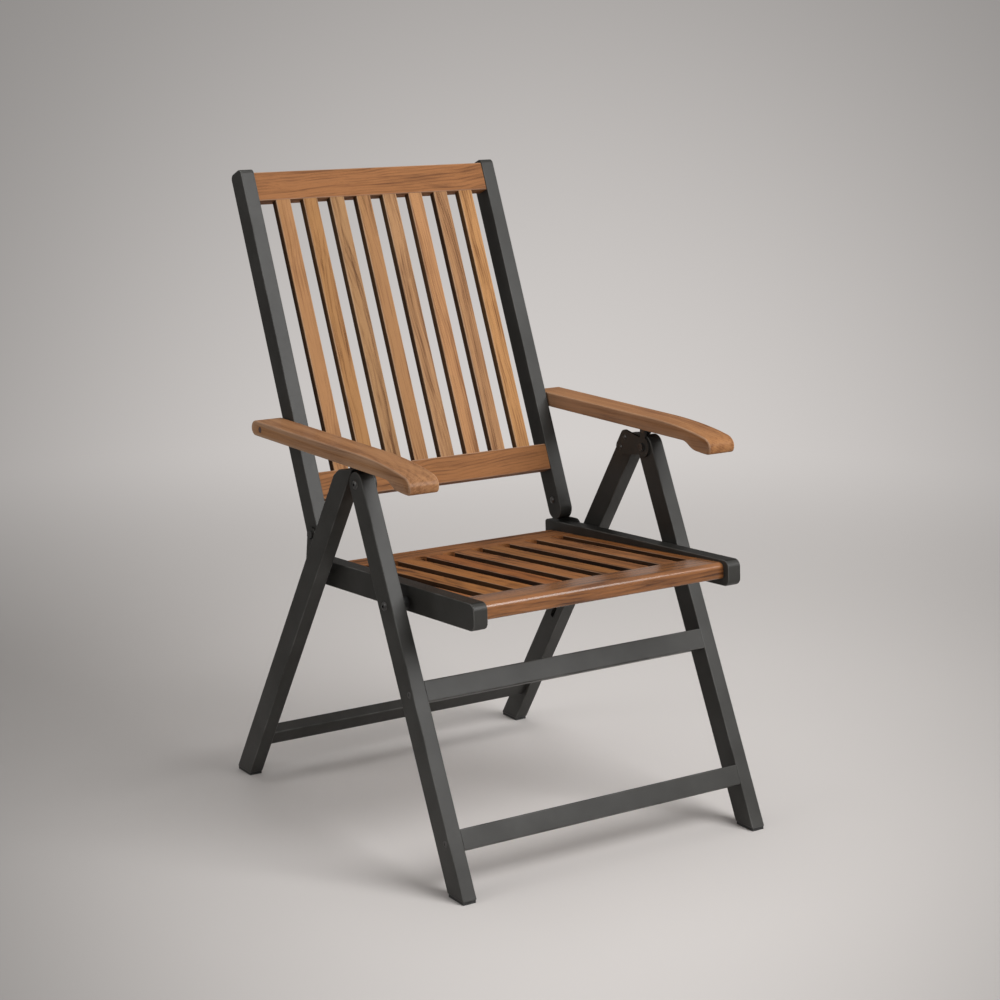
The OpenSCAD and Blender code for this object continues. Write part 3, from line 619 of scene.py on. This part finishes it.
def satin_paint(name, plain, wear_and_highlight):
    """Satin paint: a faint orange peel, soft clouds, lighter edges that are partly wear and partly a painted
    highlight, and upper faces darkened by painted shade that also shine less.
    """
    r = Recipe(name)
    place = r.place()
    cloud = r.noise(place, (14, 14, 14), detail=3)
    peel = r.noise(place, (520, 520, 520), detail=2)
    grit = r.noise(place, (1900, 1900, 1900), detail=2)
    # Rounded edges lighten, partly where the paint wears and partly as a painted highlight
    wear_and_highlight_strength = r.level(cloud, 0.4, 0.66, 0.1, 0.75)
    share = r.math("MULTIPLY", r.attribute("wear_and_highlight"), wear_and_highlight_strength, clamp=True)
    rubbed_and_highlit = r.mix(share, r.clouded(cloud, plain, 0.12, 0.012), wear_and_highlight)
    # Painted shade: faces that look upwards are darkened by half and shine less
    upper = r.level(r.facing("Z"), 0.86, 0.98, smooth=True)
    tone_with_painted_top_shade = r.mix(r.math("MULTIPLY", upper, 0.5), rubbed_and_highlit, BLACK)
    height = r.math("ADD", peel, r.math("MULTIPLY", grit, 0.5))
    gloss = r.level(upper, 0, 1, 0.25, 0.06)
    return r.surface(tone_with_painted_top_shade, r.level(peel, 0.3, 0.7, 0.36, 0.46), height, 0.12 * MM, 0.25, specular=gloss)


def blackened_steel(name, plain, metal=0.75):
    """Dark steel with fine scratches of handling."""
    r = Recipe(name)
    place = r.place()
    cloud = r.noise(place, (60, 60, 60), detail=3)
    grain = r.noise(place, (1400, 1400, 1400), detail=2)
    tone = r.clouded(cloud, plain, 0.25, 0.05)
    return r.surface(tone, r.level(cloud, 0.3, 0.7, 0.3, 0.46), grain, 0.05 * MM, 0.3, metal=metal)


def matt_plastic(name, plain):
    """Matt black plastic with a fine moulded grain."""
    r = Recipe(name)
    place = r.place()
    cloud = r.noise(place, (90, 90, 90), detail=2)
    grain = r.noise(place, (2600, 2600, 2600), detail=1)
    tone = r.clouded(cloud, plain, 0.2, 0.02)
    return r.surface(tone, r.level(cloud, 0.3, 0.7, 0.5, 0.62), grain, 0.06 * MM, 0.3, specular=0.4)


def finish(name):
    """The finish of that name, mixed on first use from the colours in the sidebar."""
    ready = bpy.data.materials.get(name)
    if ready is not None:
        return ready
    scene = bpy.context.scene
    bars = scene.chair_bars
    boards = scene.chair_boards
    iron = scene.chair_hardware
    if name in WOODS:
        wood, turn, changes = WOODS[name]
        tones = {
            "back": (tuple(boards.back_pale), tuple(boards.back_dark)),
            "seat": (tuple(boards.seat_pale), tuple(boards.seat_dark)),
            "arm": (tuple(boards.arm_pale), tuple(boards.arm_dark)),
        }
        # The rails of the back lie between the woods of the back and of the seat
        tones["rail"] = (
            between(tones["back"][0], tones["seat"][0], 0.8),
            between(tones["back"][1], tones["seat"][1], 0.4),
        )
        return oiled_wood(name, *tones[wood], turn, **changes)
    if name == "satin_paint":
        return satin_paint(name, tuple(bars.paint), tuple(bars.paint_wear_and_highlight))
    if name == "blackened_steel":
        return blackened_steel(name, tuple(iron.steel))
    if name == "browned_steel":
        return blackened_steel(name, tuple(iron.browned), metal=0.2)
    if name == "matt_plastic":
        return matt_plastic(name, tuple(iron.plastic))
    raise RuntimeError(f"there is no finish named {name}")


def painted_bar(node, body, section_at, edge, cutters=()):
    """A painted bar: the drawn part's outline at one section, as thick as the part, eased and cut."""
    low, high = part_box(node)
    bm = ease(thicken(outline(node, section_at), low.x, high.x), edge)
    piece = cut_away(piece_of(bm, node + "_bar"), *cutters)
    return dress(piece, body, [node], finish("satin_paint"))


def inner_face(side, node):
    """The x of the face that a side's part turns to the middle of the chair, and the way outwards."""
    low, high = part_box(node)
    return (high.x, -1) if side == "left" else (low.x, 1)


class CHAIR_OT_front_legs(bpy.types.Operator):
    """Painted front legs, with round tops at the leg pivot"""

    bl_idname = "chair.front_legs"
    bl_label = "Front legs"

    def execute(self, context):
        edge = context.scene.chair_bars.bar_edge
        for side in SIDES:
            node = "front_leg_" + side
            x, out = inner_face(side, node)
            painted_bar(node, "front_frame", x + out * LEG_SECTION, edge)
        return {"FINISHED"}


class CHAIR_OT_rear_legs(bpy.types.Operator):
    """Painted rear legs, with the guide groove in their inner faces"""

    bl_idname = "chair.rear_legs"
    bl_label = "Rear legs"

    def execute(self, context):
        bars = context.scene.chair_bars
        for side in SIDES:
            node = "rear_leg_" + side
            x, out = inner_face(side, node)
            mouth = outline(node, x + out * GROOVE_SECTION, rank=1)
            groove = thicken(mouth, x - out * MM, x + out * bars.groove)
            painted_bar(node, "rear_frame", x + out * LEG_SECTION, bars.bar_edge, [groove])
        return {"FINISHED"}


class CHAIR_OT_stretchers(bpy.types.Operator):
    """Painted cross bars between the front legs and between the rear legs"""

    bl_idname = "chair.stretchers"
    bl_label = "Stretchers"

    def execute(self, context):
        edge = context.scene.chair_bars.stretcher_edge
        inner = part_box("front_leg_right")[0].x
        for node, body in (
            ("upper_stretcher", "front_frame"),
            ("lower_stretcher", "front_frame"),
            ("rear_stretcher", "rear_frame"),
        ):
            bar = thicken(outline(node, 0.0), -inner, inner)
            ease(bar, edge, choose=runs_across)
            piece = piece_of(bar, node + "_bar")
            dress(piece, body, [node], finish("satin_paint"))
        return {"FINISHED"}


class CHAIR_OT_seat_rails(bpy.types.Operator):
    """Painted side rails of the seat, with the recess for the pivot nut"""

    bl_idname = "chair.seat_rails"
    bl_label = "Seat side rails"

    def execute(self, context):
        bars = context.scene.chair_bars
        nut = sum(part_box("seat_pivot_nuts"), Vector()) / 2
        recess_radius = 8 * MM
        for side in SIDES:
            node = "seat_rail_" + side
            x, out = inner_face(side, node)
            recess = rod((x, nut.y, nut.z), recess_radius, 2 * bars.nut_recess)
            painted_bar(node, "seat", x + out * SEAT_RAIL_SECTION, bars.bar_edge, [recess])
        return {"FINISHED"}


class CHAIR_OT_seat_cross_rails(bpy.types.Operator):
    """Wide wooden rails at the front and the rear of the seat"""

    bl_idname = "chair.seat_cross_rails"
    bl_label = "Seat cross rails"

    # Corners of the rear rail this close to its foremost one lie in its front
    front_reach = 0.3 * MM
    # The rod that cuts a slot's round end is this long, with its middle this far under the front's top
    rod_length = 80 * MM
    rod_drop = 11 * MM

    def execute(self, context):
        edge = context.scene.chair_boards.seat_edge
        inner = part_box("seat_rail_right")[0].x
        front = thicken(outline("seat_front_rail", MID_SLOT), -inner, inner)
        ease(front, edge, choose=runs_across)
        piece = piece_of(front, "seat_front_board")
        plank = PLANKS["seat_front_rail"]
        dress(piece, "seat", ["seat_front_rail"], finish("seat_front_wood"), plank)

        # In a slot the rear rail is drawn only as far forward as the slot's round end, so its front is moved
        # to where the slats end, and the round ends are cut again
        rear = outline("seat_rear_rail", MID_SLOT)
        down = Vector((0, math.cos(SEAT_SLOPE), -math.sin(SEAT_SLOPE)))
        nearest = min(point.co.dot(down) for point in rear.verts)
        face = [point for point in rear.verts if point.co.dot(down) < nearest + self.front_reach]
        bmesh.ops.translate(rear, verts=face, vec=-down * SLOT / 2)
        rear = thicken(rear, -inner, inner)
        ease(rear, edge, choose=runs_across)
        board = piece_of(rear, "seat_rear_board")
        start = min((vertex.co for vertex in board.data.vertices), key=lambda co: co.dot(down))
        cut_away(board, *(self.slot_end(i, start) for i in range(SEAT_SLATS - 1)))
        plank = PLANKS["seat_rear_rail"]
        dress(board, "seat", ["seat_rear_rail"], finish("seat_rail_wood"), plank)
        return {"FINISHED"}

    def slot_end(self, i, start):
        """A rod square to the seat, as wide as a slot, which cuts the slot's round end into the rear rail."""
        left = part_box(f"seat_slat_{i + 1}")[1].x
        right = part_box(f"seat_slat_{i + 2}")[0].x
        middle = ((left + right) / 2, start.y, start.z - self.rod_drop)
        return rod(middle, SLOT / 2, self.rod_length, turn=-SEAT_SLOPE, axis="X")


class CHAIR_OT_seat_slats(bpy.types.Operator):
    """The nine slats of the seat"""

    bl_idname = "chair.seat_slats"
    bl_label = "Seat slats"

    # The slats of the seat are eased less than those of the back
    edge_share = 0.6

    def execute(self, context):
        edge = context.scene.chair_boards.slat_edge * self.edge_share
        for i in range(SEAT_SLATS):
            node = f"seat_slat_{i + 1}"
            low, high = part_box(node)
            slat = thicken(outline(node, (low.x + high.x) / 2), low.x, high.x)
            ease(slat, edge, choose=runs_along)
            piece = piece_of(slat, f"seat_board_{i + 1}")
            plank = PLANKS["seat_slats"] + i
            dress(piece, "seat", [node], finish("seat_slat_wood"), plank)
        return {"FINISHED"}


class CHAIR_OT_stiles(bpy.types.Operator):
    """Painted stiles of the back, with round lower ends"""

    bl_idname = "chair.stiles"
    bl_label = "Back stiles"

    def execute(self, context):
        edge = context.scene.chair_bars.bar_edge
        for side in SIDES:
            node = "back_stile_" + side
            x, out = inner_face(side, node)
            painted_bar(node, "back", x + out * STILE_SECTION, edge)
        return {"FINISHED"}


class CHAIR_OT_back_rails(bpy.types.Operator):
    """Wooden top rail and bottom rail of the back"""

    bl_idname = "chair.back_rails"
    bl_label = "Back rails"

    def execute(self, context):
        edge = context.scene.chair_boards.rail_edge
        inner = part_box("back_stile_right")[0].x
        for name in ("top", "bottom"):
            node = f"back_{name}_rail"
            rail = thicken(outline(node, 0.0), -inner, inner)
            ease(rail, edge, choose=runs_across)
            piece = piece_of(rail, f"back_{name}_board")
            dress(piece, "back", [node], finish("back_rail_wood"), PLANKS[node])
        return {"FINISHED"}


class CHAIR_OT_back_slats(bpy.types.Operator):
    """The eight slats of the back"""

    bl_idname = "chair.back_slats"
    bl_label = "Back slats"

    def execute(self, context):
        edge = context.scene.chair_boards.slat_edge
        for i in range(BACK_SLATS):
            node = f"back_slat_{i + 1}"
            low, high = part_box(node)
            slat = thicken(outline(node, (low.x + high.x) / 2), low.x, high.x)
            ease(slat, edge, choose=runs_along)
            piece = piece_of(slat, f"back_board_{i + 1}")
            plank = PLANKS["back_slats"] + i
            dress(piece, "back", [node], finish("back_slat_wood"), plank)
        return {"FINISHED"}


class CHAIR_OT_arms(bpy.types.Operator):
    """Wide wooden arms with a rolled nose, a recess for the rack and a bore for the pin"""

    bl_idname = "chair.arms"
    bl_label = "Arms"

    # Room round the rack in the recess, beyond the hinge plate, and below the arm
    rack_room = 2.5 * MM
    plate_room = 0.5 * MM
    below = 1 * MM
    bore_radius = 5.1 * MM
    bore_length = 20 * MM

    def execute(self, context):
        edge = context.scene.chair_boards.arm_edge
        pin = sum(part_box("arm_pins"), Vector()) / 2
        for side in SIDES:
            node = "arm_" + side
            low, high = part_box(node)
            x, out = inner_face(side, node)
            side_line = outline(node, x + out * ARM_SECTION, merge=0.3 * MM)
            arm = ease(thicken(side_line, low.x, high.x), edge, segments=6)
            outer = low.x if side == "left" else high.x
            bore = rod((outer, pin.y, pin.z), self.bore_radius, self.bore_length)
            piece = cut_away(piece_of(arm, node + "_board"), self.recess(side, low.z), bore)
            dress(piece, node + "_body", [node], finish("arm_board_wood"), PLANKS[node])
        return {"FINISHED"}

    def recess(self, side, underside):
        """The room for the rack, from the inner face of the hinge plate to the outer face of the leg."""
        rack_low, rack_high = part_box("arm_rack_" + side)
        plate_x, out = inner_face(side, "apex_plate_" + side)
        leg_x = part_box("front_leg_" + side)[0 if side == "left" else 1].x
        from_x, to_x = sorted((plate_x - out * self.plate_room, leg_x))
        return block(
            (from_x, rack_low.y - self.rack_room, underside - self.below),
            (to_x, rack_high.y + self.rack_room, rack_high.z),
        )


def turned_bolt(profile, socket, at, out):
    """A bolt turned about the x axis from a profile of (distance along, radius) points.

    The profile ends with the rim, the foot of the wall and the middle of the floor of the socket. The rim and
    the foot take the shape of a hexagon.
    """
    bm = bmesh.new()
    line = [bm.verts.new((along, radius, 0)) for along, radius in profile]
    for first, second in zip(line, line[1:]):
        bm.edges.new((first, second))
    bmesh.ops.spin(
        bm,
        geom=bm.verts[:] + bm.edges[:],
        cent=(0, 0, 0),
        axis=(1, 0, 0),
        angle=math.tau,
        steps=24,
        use_merge=True,
    )
    close = 0.001 * MM
    bmesh.ops.remove_doubles(bm, verts=bm.verts[:], dist=close)
    rim = profile[-3][1]
    floor = profile[-2][0]
    for point in bm.verts:
        radius = math.hypot(point.co.y, point.co.z)
        if abs(radius - rim) > 10 * close or point.co.x < floor - 10 * close:
            continue
        turn = math.atan2(point.co.z, point.co.y)
        point.co.yz = Vector((math.cos(turn), math.sin(turn))) * hexagon_radius(socket, turn)
    if out < 0:
        bmesh.ops.scale(bm, verts=bm.verts[:], vec=(-1, 1, 1))
    bmesh.ops.translate(bm, verts=bm.verts[:], vec=at)
    bmesh.ops.recalc_face_normals(bm, faces=bm.faces[:])
    return bm


def hexagon_radius(width, turn):
    """How far the wall of a hexagon socket lies from its middle, in the direction turn."""
    sector = math.radians(60)
    return width / 2 / math.cos((turn + sector / 2) % sector - sector / 2)


def gather(meshes):
    """Several bmeshes as one."""
    whole = bmesh.new()
    for bm in meshes:
        mesh = bpy.data.meshes.new("part")
        bm.to_mesh(mesh)
        bm.free()
        whole.from_mesh(mesh)
        bpy.data.meshes.remove(mesh)
    return whole


def dome(face, height, radius, socket, shank, tip):
    """Profile of a dome-headed bolt whose head stands on the plane face and whose shank ends at tip."""
    steps = 7
    chamfer = 0.4 * MM
    roundness = 0.96
    deepest = 2.2 * MM
    profile = [(tip, 0.0), (tip, shank - chamfer), (tip + chamfer, shank), (face, shank), (face, radius)]
    for i in range(1, steps + 1):
        turned = radius + (socket - radius) * i / steps
        profile.append((face + height * math.sqrt(1 - (turned / radius * roundness) ** 2), turned))
    floor = profile[-1][0] - min(0.75 * height, deepest)
    return profile + [(floor, socket), (floor, 0.0)]


class CHAIR_OT_bolts(bpy.types.Operator):
    """Dome-headed bolts of the leg pivots, the seat pivots and the front stretchers"""

    bl_idname = "chair.bolts"
    bl_label = "Bolts"

    # A socket is at most this share of its head
    widest_socket = 0.42

    def execute(self, context):
        iron = context.scene.chair_hardware
        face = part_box("front_leg_right")[1].x
        for node in ("apex_bolts", "seat_pivot_bolts", "front_stretcher_bolts"):
            made = []
            for (side, _, _), facts in self.measured(node).items():
                shank = min(facts["shank"], iron.bolt / 2)
                socket = min(iron.socket / 2, facts["head"] * self.widest_socket)
                profile = dome(face, facts["top"] - face, facts["head"], socket, shank, facts["tip"])
                made.append(turned_bolt(profile, socket * 2, facts["middle"], side))
            piece = piece_of(gather(made), node + "_turned")
            dress(piece, "front_frame", [node], finish("blackened_steel"))
        return {"FINISHED"}

    @staticmethod
    def measured(node):
        """The drawn bolts by side and place: their reach from the middle of the chair, and their radii."""
        tenth_of_mm = 4
        bm = drawn_mesh(node)
        bolts = {}
        for group in groups_of_points(bm):
            points = [point.co for point in group]
            low_y = min(point.y for point in points)
            high_y = max(point.y for point in points)
            low_z = min(point.z for point in points)
            high_z = max(point.z for point in points)
            y = (low_y + high_y) / 2
            z = (low_z + high_z) / 2
            radius = (high_z - low_z) / 2
            side = 1 if sum(point.x for point in points) > 0 else -1
            reach = [abs(point.x) for point in points]
            key = (side, round(y, tenth_of_mm), round(z, tenth_of_mm))
            unknown = {"tip": 1.0, "top": 0.0, "head": 0.0, "shank": 1.0, "middle": (0, y, z)}
            facts = bolts.setdefault(key, unknown)
            facts["tip"] = min(facts["tip"], min(reach))
            facts["top"] = max(facts["top"], max(reach))
            facts["head"] = max(facts["head"], radius)
            facts["shank"] = min(facts["shank"], radius)
        bm.free()
        return bolts


class CHAIR_OT_fittings(bpy.types.Operator):
    """Finish of the drawn hardware: plates, racks, nuts, pins, barrels, screws, feet and washers"""

    bl_idname = "chair.fittings"
    bl_label = "Fittings"

    def execute(self, context):
        refinish(
            finish("blackened_steel"),
            "apex_plate_screws",
            "apex_nuts",
            "latch_pins",
            "guide_studs",
            "seat_pivot_nuts",
            "hinge_plate_screws",
            "back_bolts",
            "back_nuts",
            "back_barrels",
            "arm_bushes",
            "arm_rack_left",
            "arm_rack_right",
            "rack_screws_left",
            "rack_screws_right",
        )
        refinish(finish("browned_steel"), "arm_pins")
        refinish(finish("satin_paint"), "apex_plate_left", "apex_plate_right", "hinge_plates")
        refinish(finish("matt_plastic"), "front_glides", "rear_glides", "seat_pivot_washers")
        return {"FINISHED"}


def painted_light_falloff(r, place, near, ahead_from, brightest, forward):
    """Painted light on the studio's floor and backdrop: a pool of light that falls off from its brightest
    spot in the camera's view, and is an even grey elsewhere.

    The place is measured from the camera, and near is one over the metres ahead of it. What lies less far
    ahead than the two lengths in ahead_from passes into the even grey.
    """
    ahead = r.vector("DOT_PRODUCT", place, (forward.x, forward.y, 0))
    aside = r.vector("DOT_PRODUCT", place, (forward.y, -forward.x, 0))
    slant = r.math("DIVIDE", aside, r.math("MAXIMUM", ahead, 0.05))
    across = r.math("MINIMUM", r.math("MAXIMUM", slant, -0.4), 0.4)
    spread = r.math("DIVIDE", r.math("SUBTRACT", across, BRIGHT_SLANT), FALL_SLANT)
    depth = r.math("DIVIDE", r.math("SUBTRACT", near, BRIGHT_NEAR), FALL_NEAR)
    square = r.math("ADD", r.math("MULTIPLY", spread, spread), r.math("MULTIPLY", depth, depth))
    fall = r.math("EXPONENT", r.math("MULTIPLY", r.math("POWER", square, FALL_POWER), -1.0))
    fallen = r.mix(fall, between(BLACK, brightest, FAR_GREY), brightest)
    beside = r.level(r.math("ABSOLUTE", slant), 0.3, 0.7, smooth=True)
    behind = r.level(ahead, *ahead_from, 1.0, 0.0, smooth=True)
    return r.mix(r.math("MAXIMUM", beside, behind), fallen, between(BLACK, brightest, EVEN_GREY))


def floor_finish(brightest, eye, forward):
    """Pale studio floor with a painted pool of light that falls off in grey towards the distance; further out
    it glows with that grey for the camera, and it keeps the chair's shadow.
    """
    r = Recipe("studio_floor")
    place = r.place()
    from_eye = r.vector("SUBTRACT", place, (eye.x, eye.y, 0))
    ahead = r.vector("DOT_PRODUCT", from_eye, (forward.x, forward.y, 0))
    near = r.math("DIVIDE", 1.0, r.math("MAXIMUM", ahead, 2.5))
    grey = painted_light_falloff(r, from_eye, near, (1.2, 2.6), brightest, forward)
    matt = r.put("ShaderNodeBsdfDiffuse", {"Color": grey})
    # Painted glow: further from the chair the floor shines with its grey for the camera, though it is no lamp
    painted_glow = r.put("ShaderNodeEmission", {"Color": grey, "Strength": 1.0})
    distance = r.level(r.vector("LENGTH", place), 1.1, 3.2, smooth=True)
    rays = r.put("ShaderNodeLightPath")
    share = r.math("MULTIPLY", distance, rays.outputs["Is Camera Ray"])
    both = r.put("ShaderNodeMixShader", {0: share, 1: matt.outputs[0], 2: painted_glow.outputs[0]})
    r.put("ShaderNodeOutputMaterial", {"Surface": both.outputs[0]})
    return r.made


def studio_air(strength, brightest, eye, forward):
    """Even light all round; the camera and mirrors see the painted pool of light go on above the floor
    instead.
    """
    r = Recipe("studio_air", kind="worlds")
    way = r.put("ShaderNodeTexCoord").outputs["Generated"]
    ahead = r.math("MAXIMUM", r.vector("DOT_PRODUCT", way, (forward.x, forward.y, 0)), 0.05)
    down = r.vector("DOT_PRODUCT", way, (0, 0, -1 / eye.z))
    near = r.math("MAXIMUM", r.math("DIVIDE", down, ahead), -0.25)
    grey = painted_light_falloff(r, way, near, (0.0, 0.5), brightest, forward)
    light = r.put("ShaderNodeBackground", {"Color": (1, 0.985, 0.965, 1), "Strength": strength})
    wall = r.put("ShaderNodeBackground", {"Color": grey, "Strength": 1.0})
    rays = r.put("ShaderNodeLightPath").outputs
    straight = r.math("ADD", rays["Is Camera Ray"], rays["Is Transmission Ray"])
    seen = r.math("ADD", straight, rays["Is Glossy Ray"], clamp=True)
    both = r.put("ShaderNodeMixShader", {0: seen, 1: light.outputs[0], 2: wall.outputs[0]})
    r.put("ShaderNodeOutputWorld", {"Surface": both.outputs[0]})
    return r.made


class CHAIR_OT_stage(bpy.types.Operator):
    """Studio floor, soft lamps, light all round and the camera"""

    bl_idname = "chair.stage"
    bl_label = "Stage"

    def execute(self, context):
        scene = context.scene
        look = scene.chair_stage
        brightest = tuple(look.floor)
        eye = Vector(look.eye)
        sight = (Vector(look.aim) - eye).normalized()
        forward = Vector((sight.x, sight.y, 0)).normalized()

        bm = bmesh.new()
        bmesh.ops.create_circle(bm, cap_ends=True, segments=2 * ROUND_STEPS, radius=FLOOR_RADIUS)
        floor = piece_of(bm, "studio_floor")
        floor.data.materials.append(floor_finish(brightest, eye, forward))

        data = bpy.data.cameras.new("photo_camera")
        data.lens = look.lens
        data.sensor_width = 36
        data.clip_end = CAMERA_REACH
        camera = bpy.data.objects.new("photo_camera", data)
        camera.location = eye
        camera.rotation_euler = sight.to_track_quat("-Z", "Y").to_euler()
        scene.collection.objects.link(camera)
        scene.camera = camera

        for name, place, width, share in LAMPS:
            self.lamp(name, place, width, look.key * share)
        scene.world = studio_air(look.fill, brightest, eye, forward)
        scene.view_settings.view_transform = "Standard"
        return {"FINISHED"}

    @staticmethod
    def lamp(name, place, width, power):
        data = bpy.data.lights.new(name, "AREA")
        data.energy = power
        data.shape = "DISK"
        data.size = width
        lamp = bpy.data.objects.new(name, data)
        lamp.location = place
        toward = Vector(LAMP_AIM) - Vector(place)
        lamp.rotation_euler = toward.to_track_quat("-Z", "Y").to_euler()
        bpy.context.scene.collection.objects.link(lamp)


STEPS = (
    CHAIR_OT_stage,
    CHAIR_OT_front_legs,
    CHAIR_OT_rear_legs,
    CHAIR_OT_stretchers,
    CHAIR_OT_seat_rails,
    CHAIR_OT_seat_cross_rails,
    CHAIR_OT_seat_slats,
    CHAIR_OT_stiles,
    CHAIR_OT_back_rails,
    CHAIR_OT_back_slats,
    CHAIR_OT_arms,
    CHAIR_OT_bolts,
    CHAIR_OT_fittings,
)

SETTINGS = (
    ("chair_bars", ChairBars),
    ("chair_boards", ChairBoards),
    ("chair_hardware", ChairHardware),
    ("chair_stage", ChairStage),
)


class CHAIR_PT_panel(bpy.types.Panel):
    """Steps and settings of the garden chair"""

    bl_idname = "CHAIR_PT_panel"
    bl_label = "Garden Chair"
    bl_space_type = "VIEW_3D"
    bl_region_type = "UI"
    bl_category = "Garden Chair"

    def draw(self, context):
        layout = self.layout
        for step in STEPS:
            layout.operator(step.bl_idname)
        for name, group in SETTINGS:
            box = layout.box()
            box.label(text=group.__doc__)
            settings = getattr(context.scene, name)
            for field in group.__annotations__:
                box.prop(settings, field)


def register():
    for _, group in SETTINGS:
        bpy.utils.register_class(group)
    for step in STEPS:
        bpy.utils.register_class(step)
    bpy.utils.register_class(CHAIR_PT_panel)
    for name, group in SETTINGS:
        setattr(bpy.types.Scene, name, bpy.props.PointerProperty(type=group))


def unregister():
    for name, _ in SETTINGS:
        delattr(bpy.types.Scene, name)
    bpy.utils.unregister_class(CHAIR_PT_panel)
    for step in reversed(STEPS):
        bpy.utils.unregister_class(step)
    for _, group in reversed(SETTINGS):
        bpy.utils.unregister_class(group)


def main():
    register()
    bpy.ops.chair.stage()
    bpy.ops.chair.front_legs()
    bpy.ops.chair.rear_legs()
    bpy.ops.chair.stretchers()
    bpy.ops.chair.seat_rails()
    bpy.ops.chair.seat_cross_rails()
    bpy.ops.chair.seat_slats()
    bpy.ops.chair.stiles()
    bpy.ops.chair.back_rails()
    bpy.ops.chair.back_slats()
    bpy.ops.chair.arms()
    bpy.ops.chair.bolts()
    bpy.ops.chair.fittings()


if __name__ == "__main__":
    main()
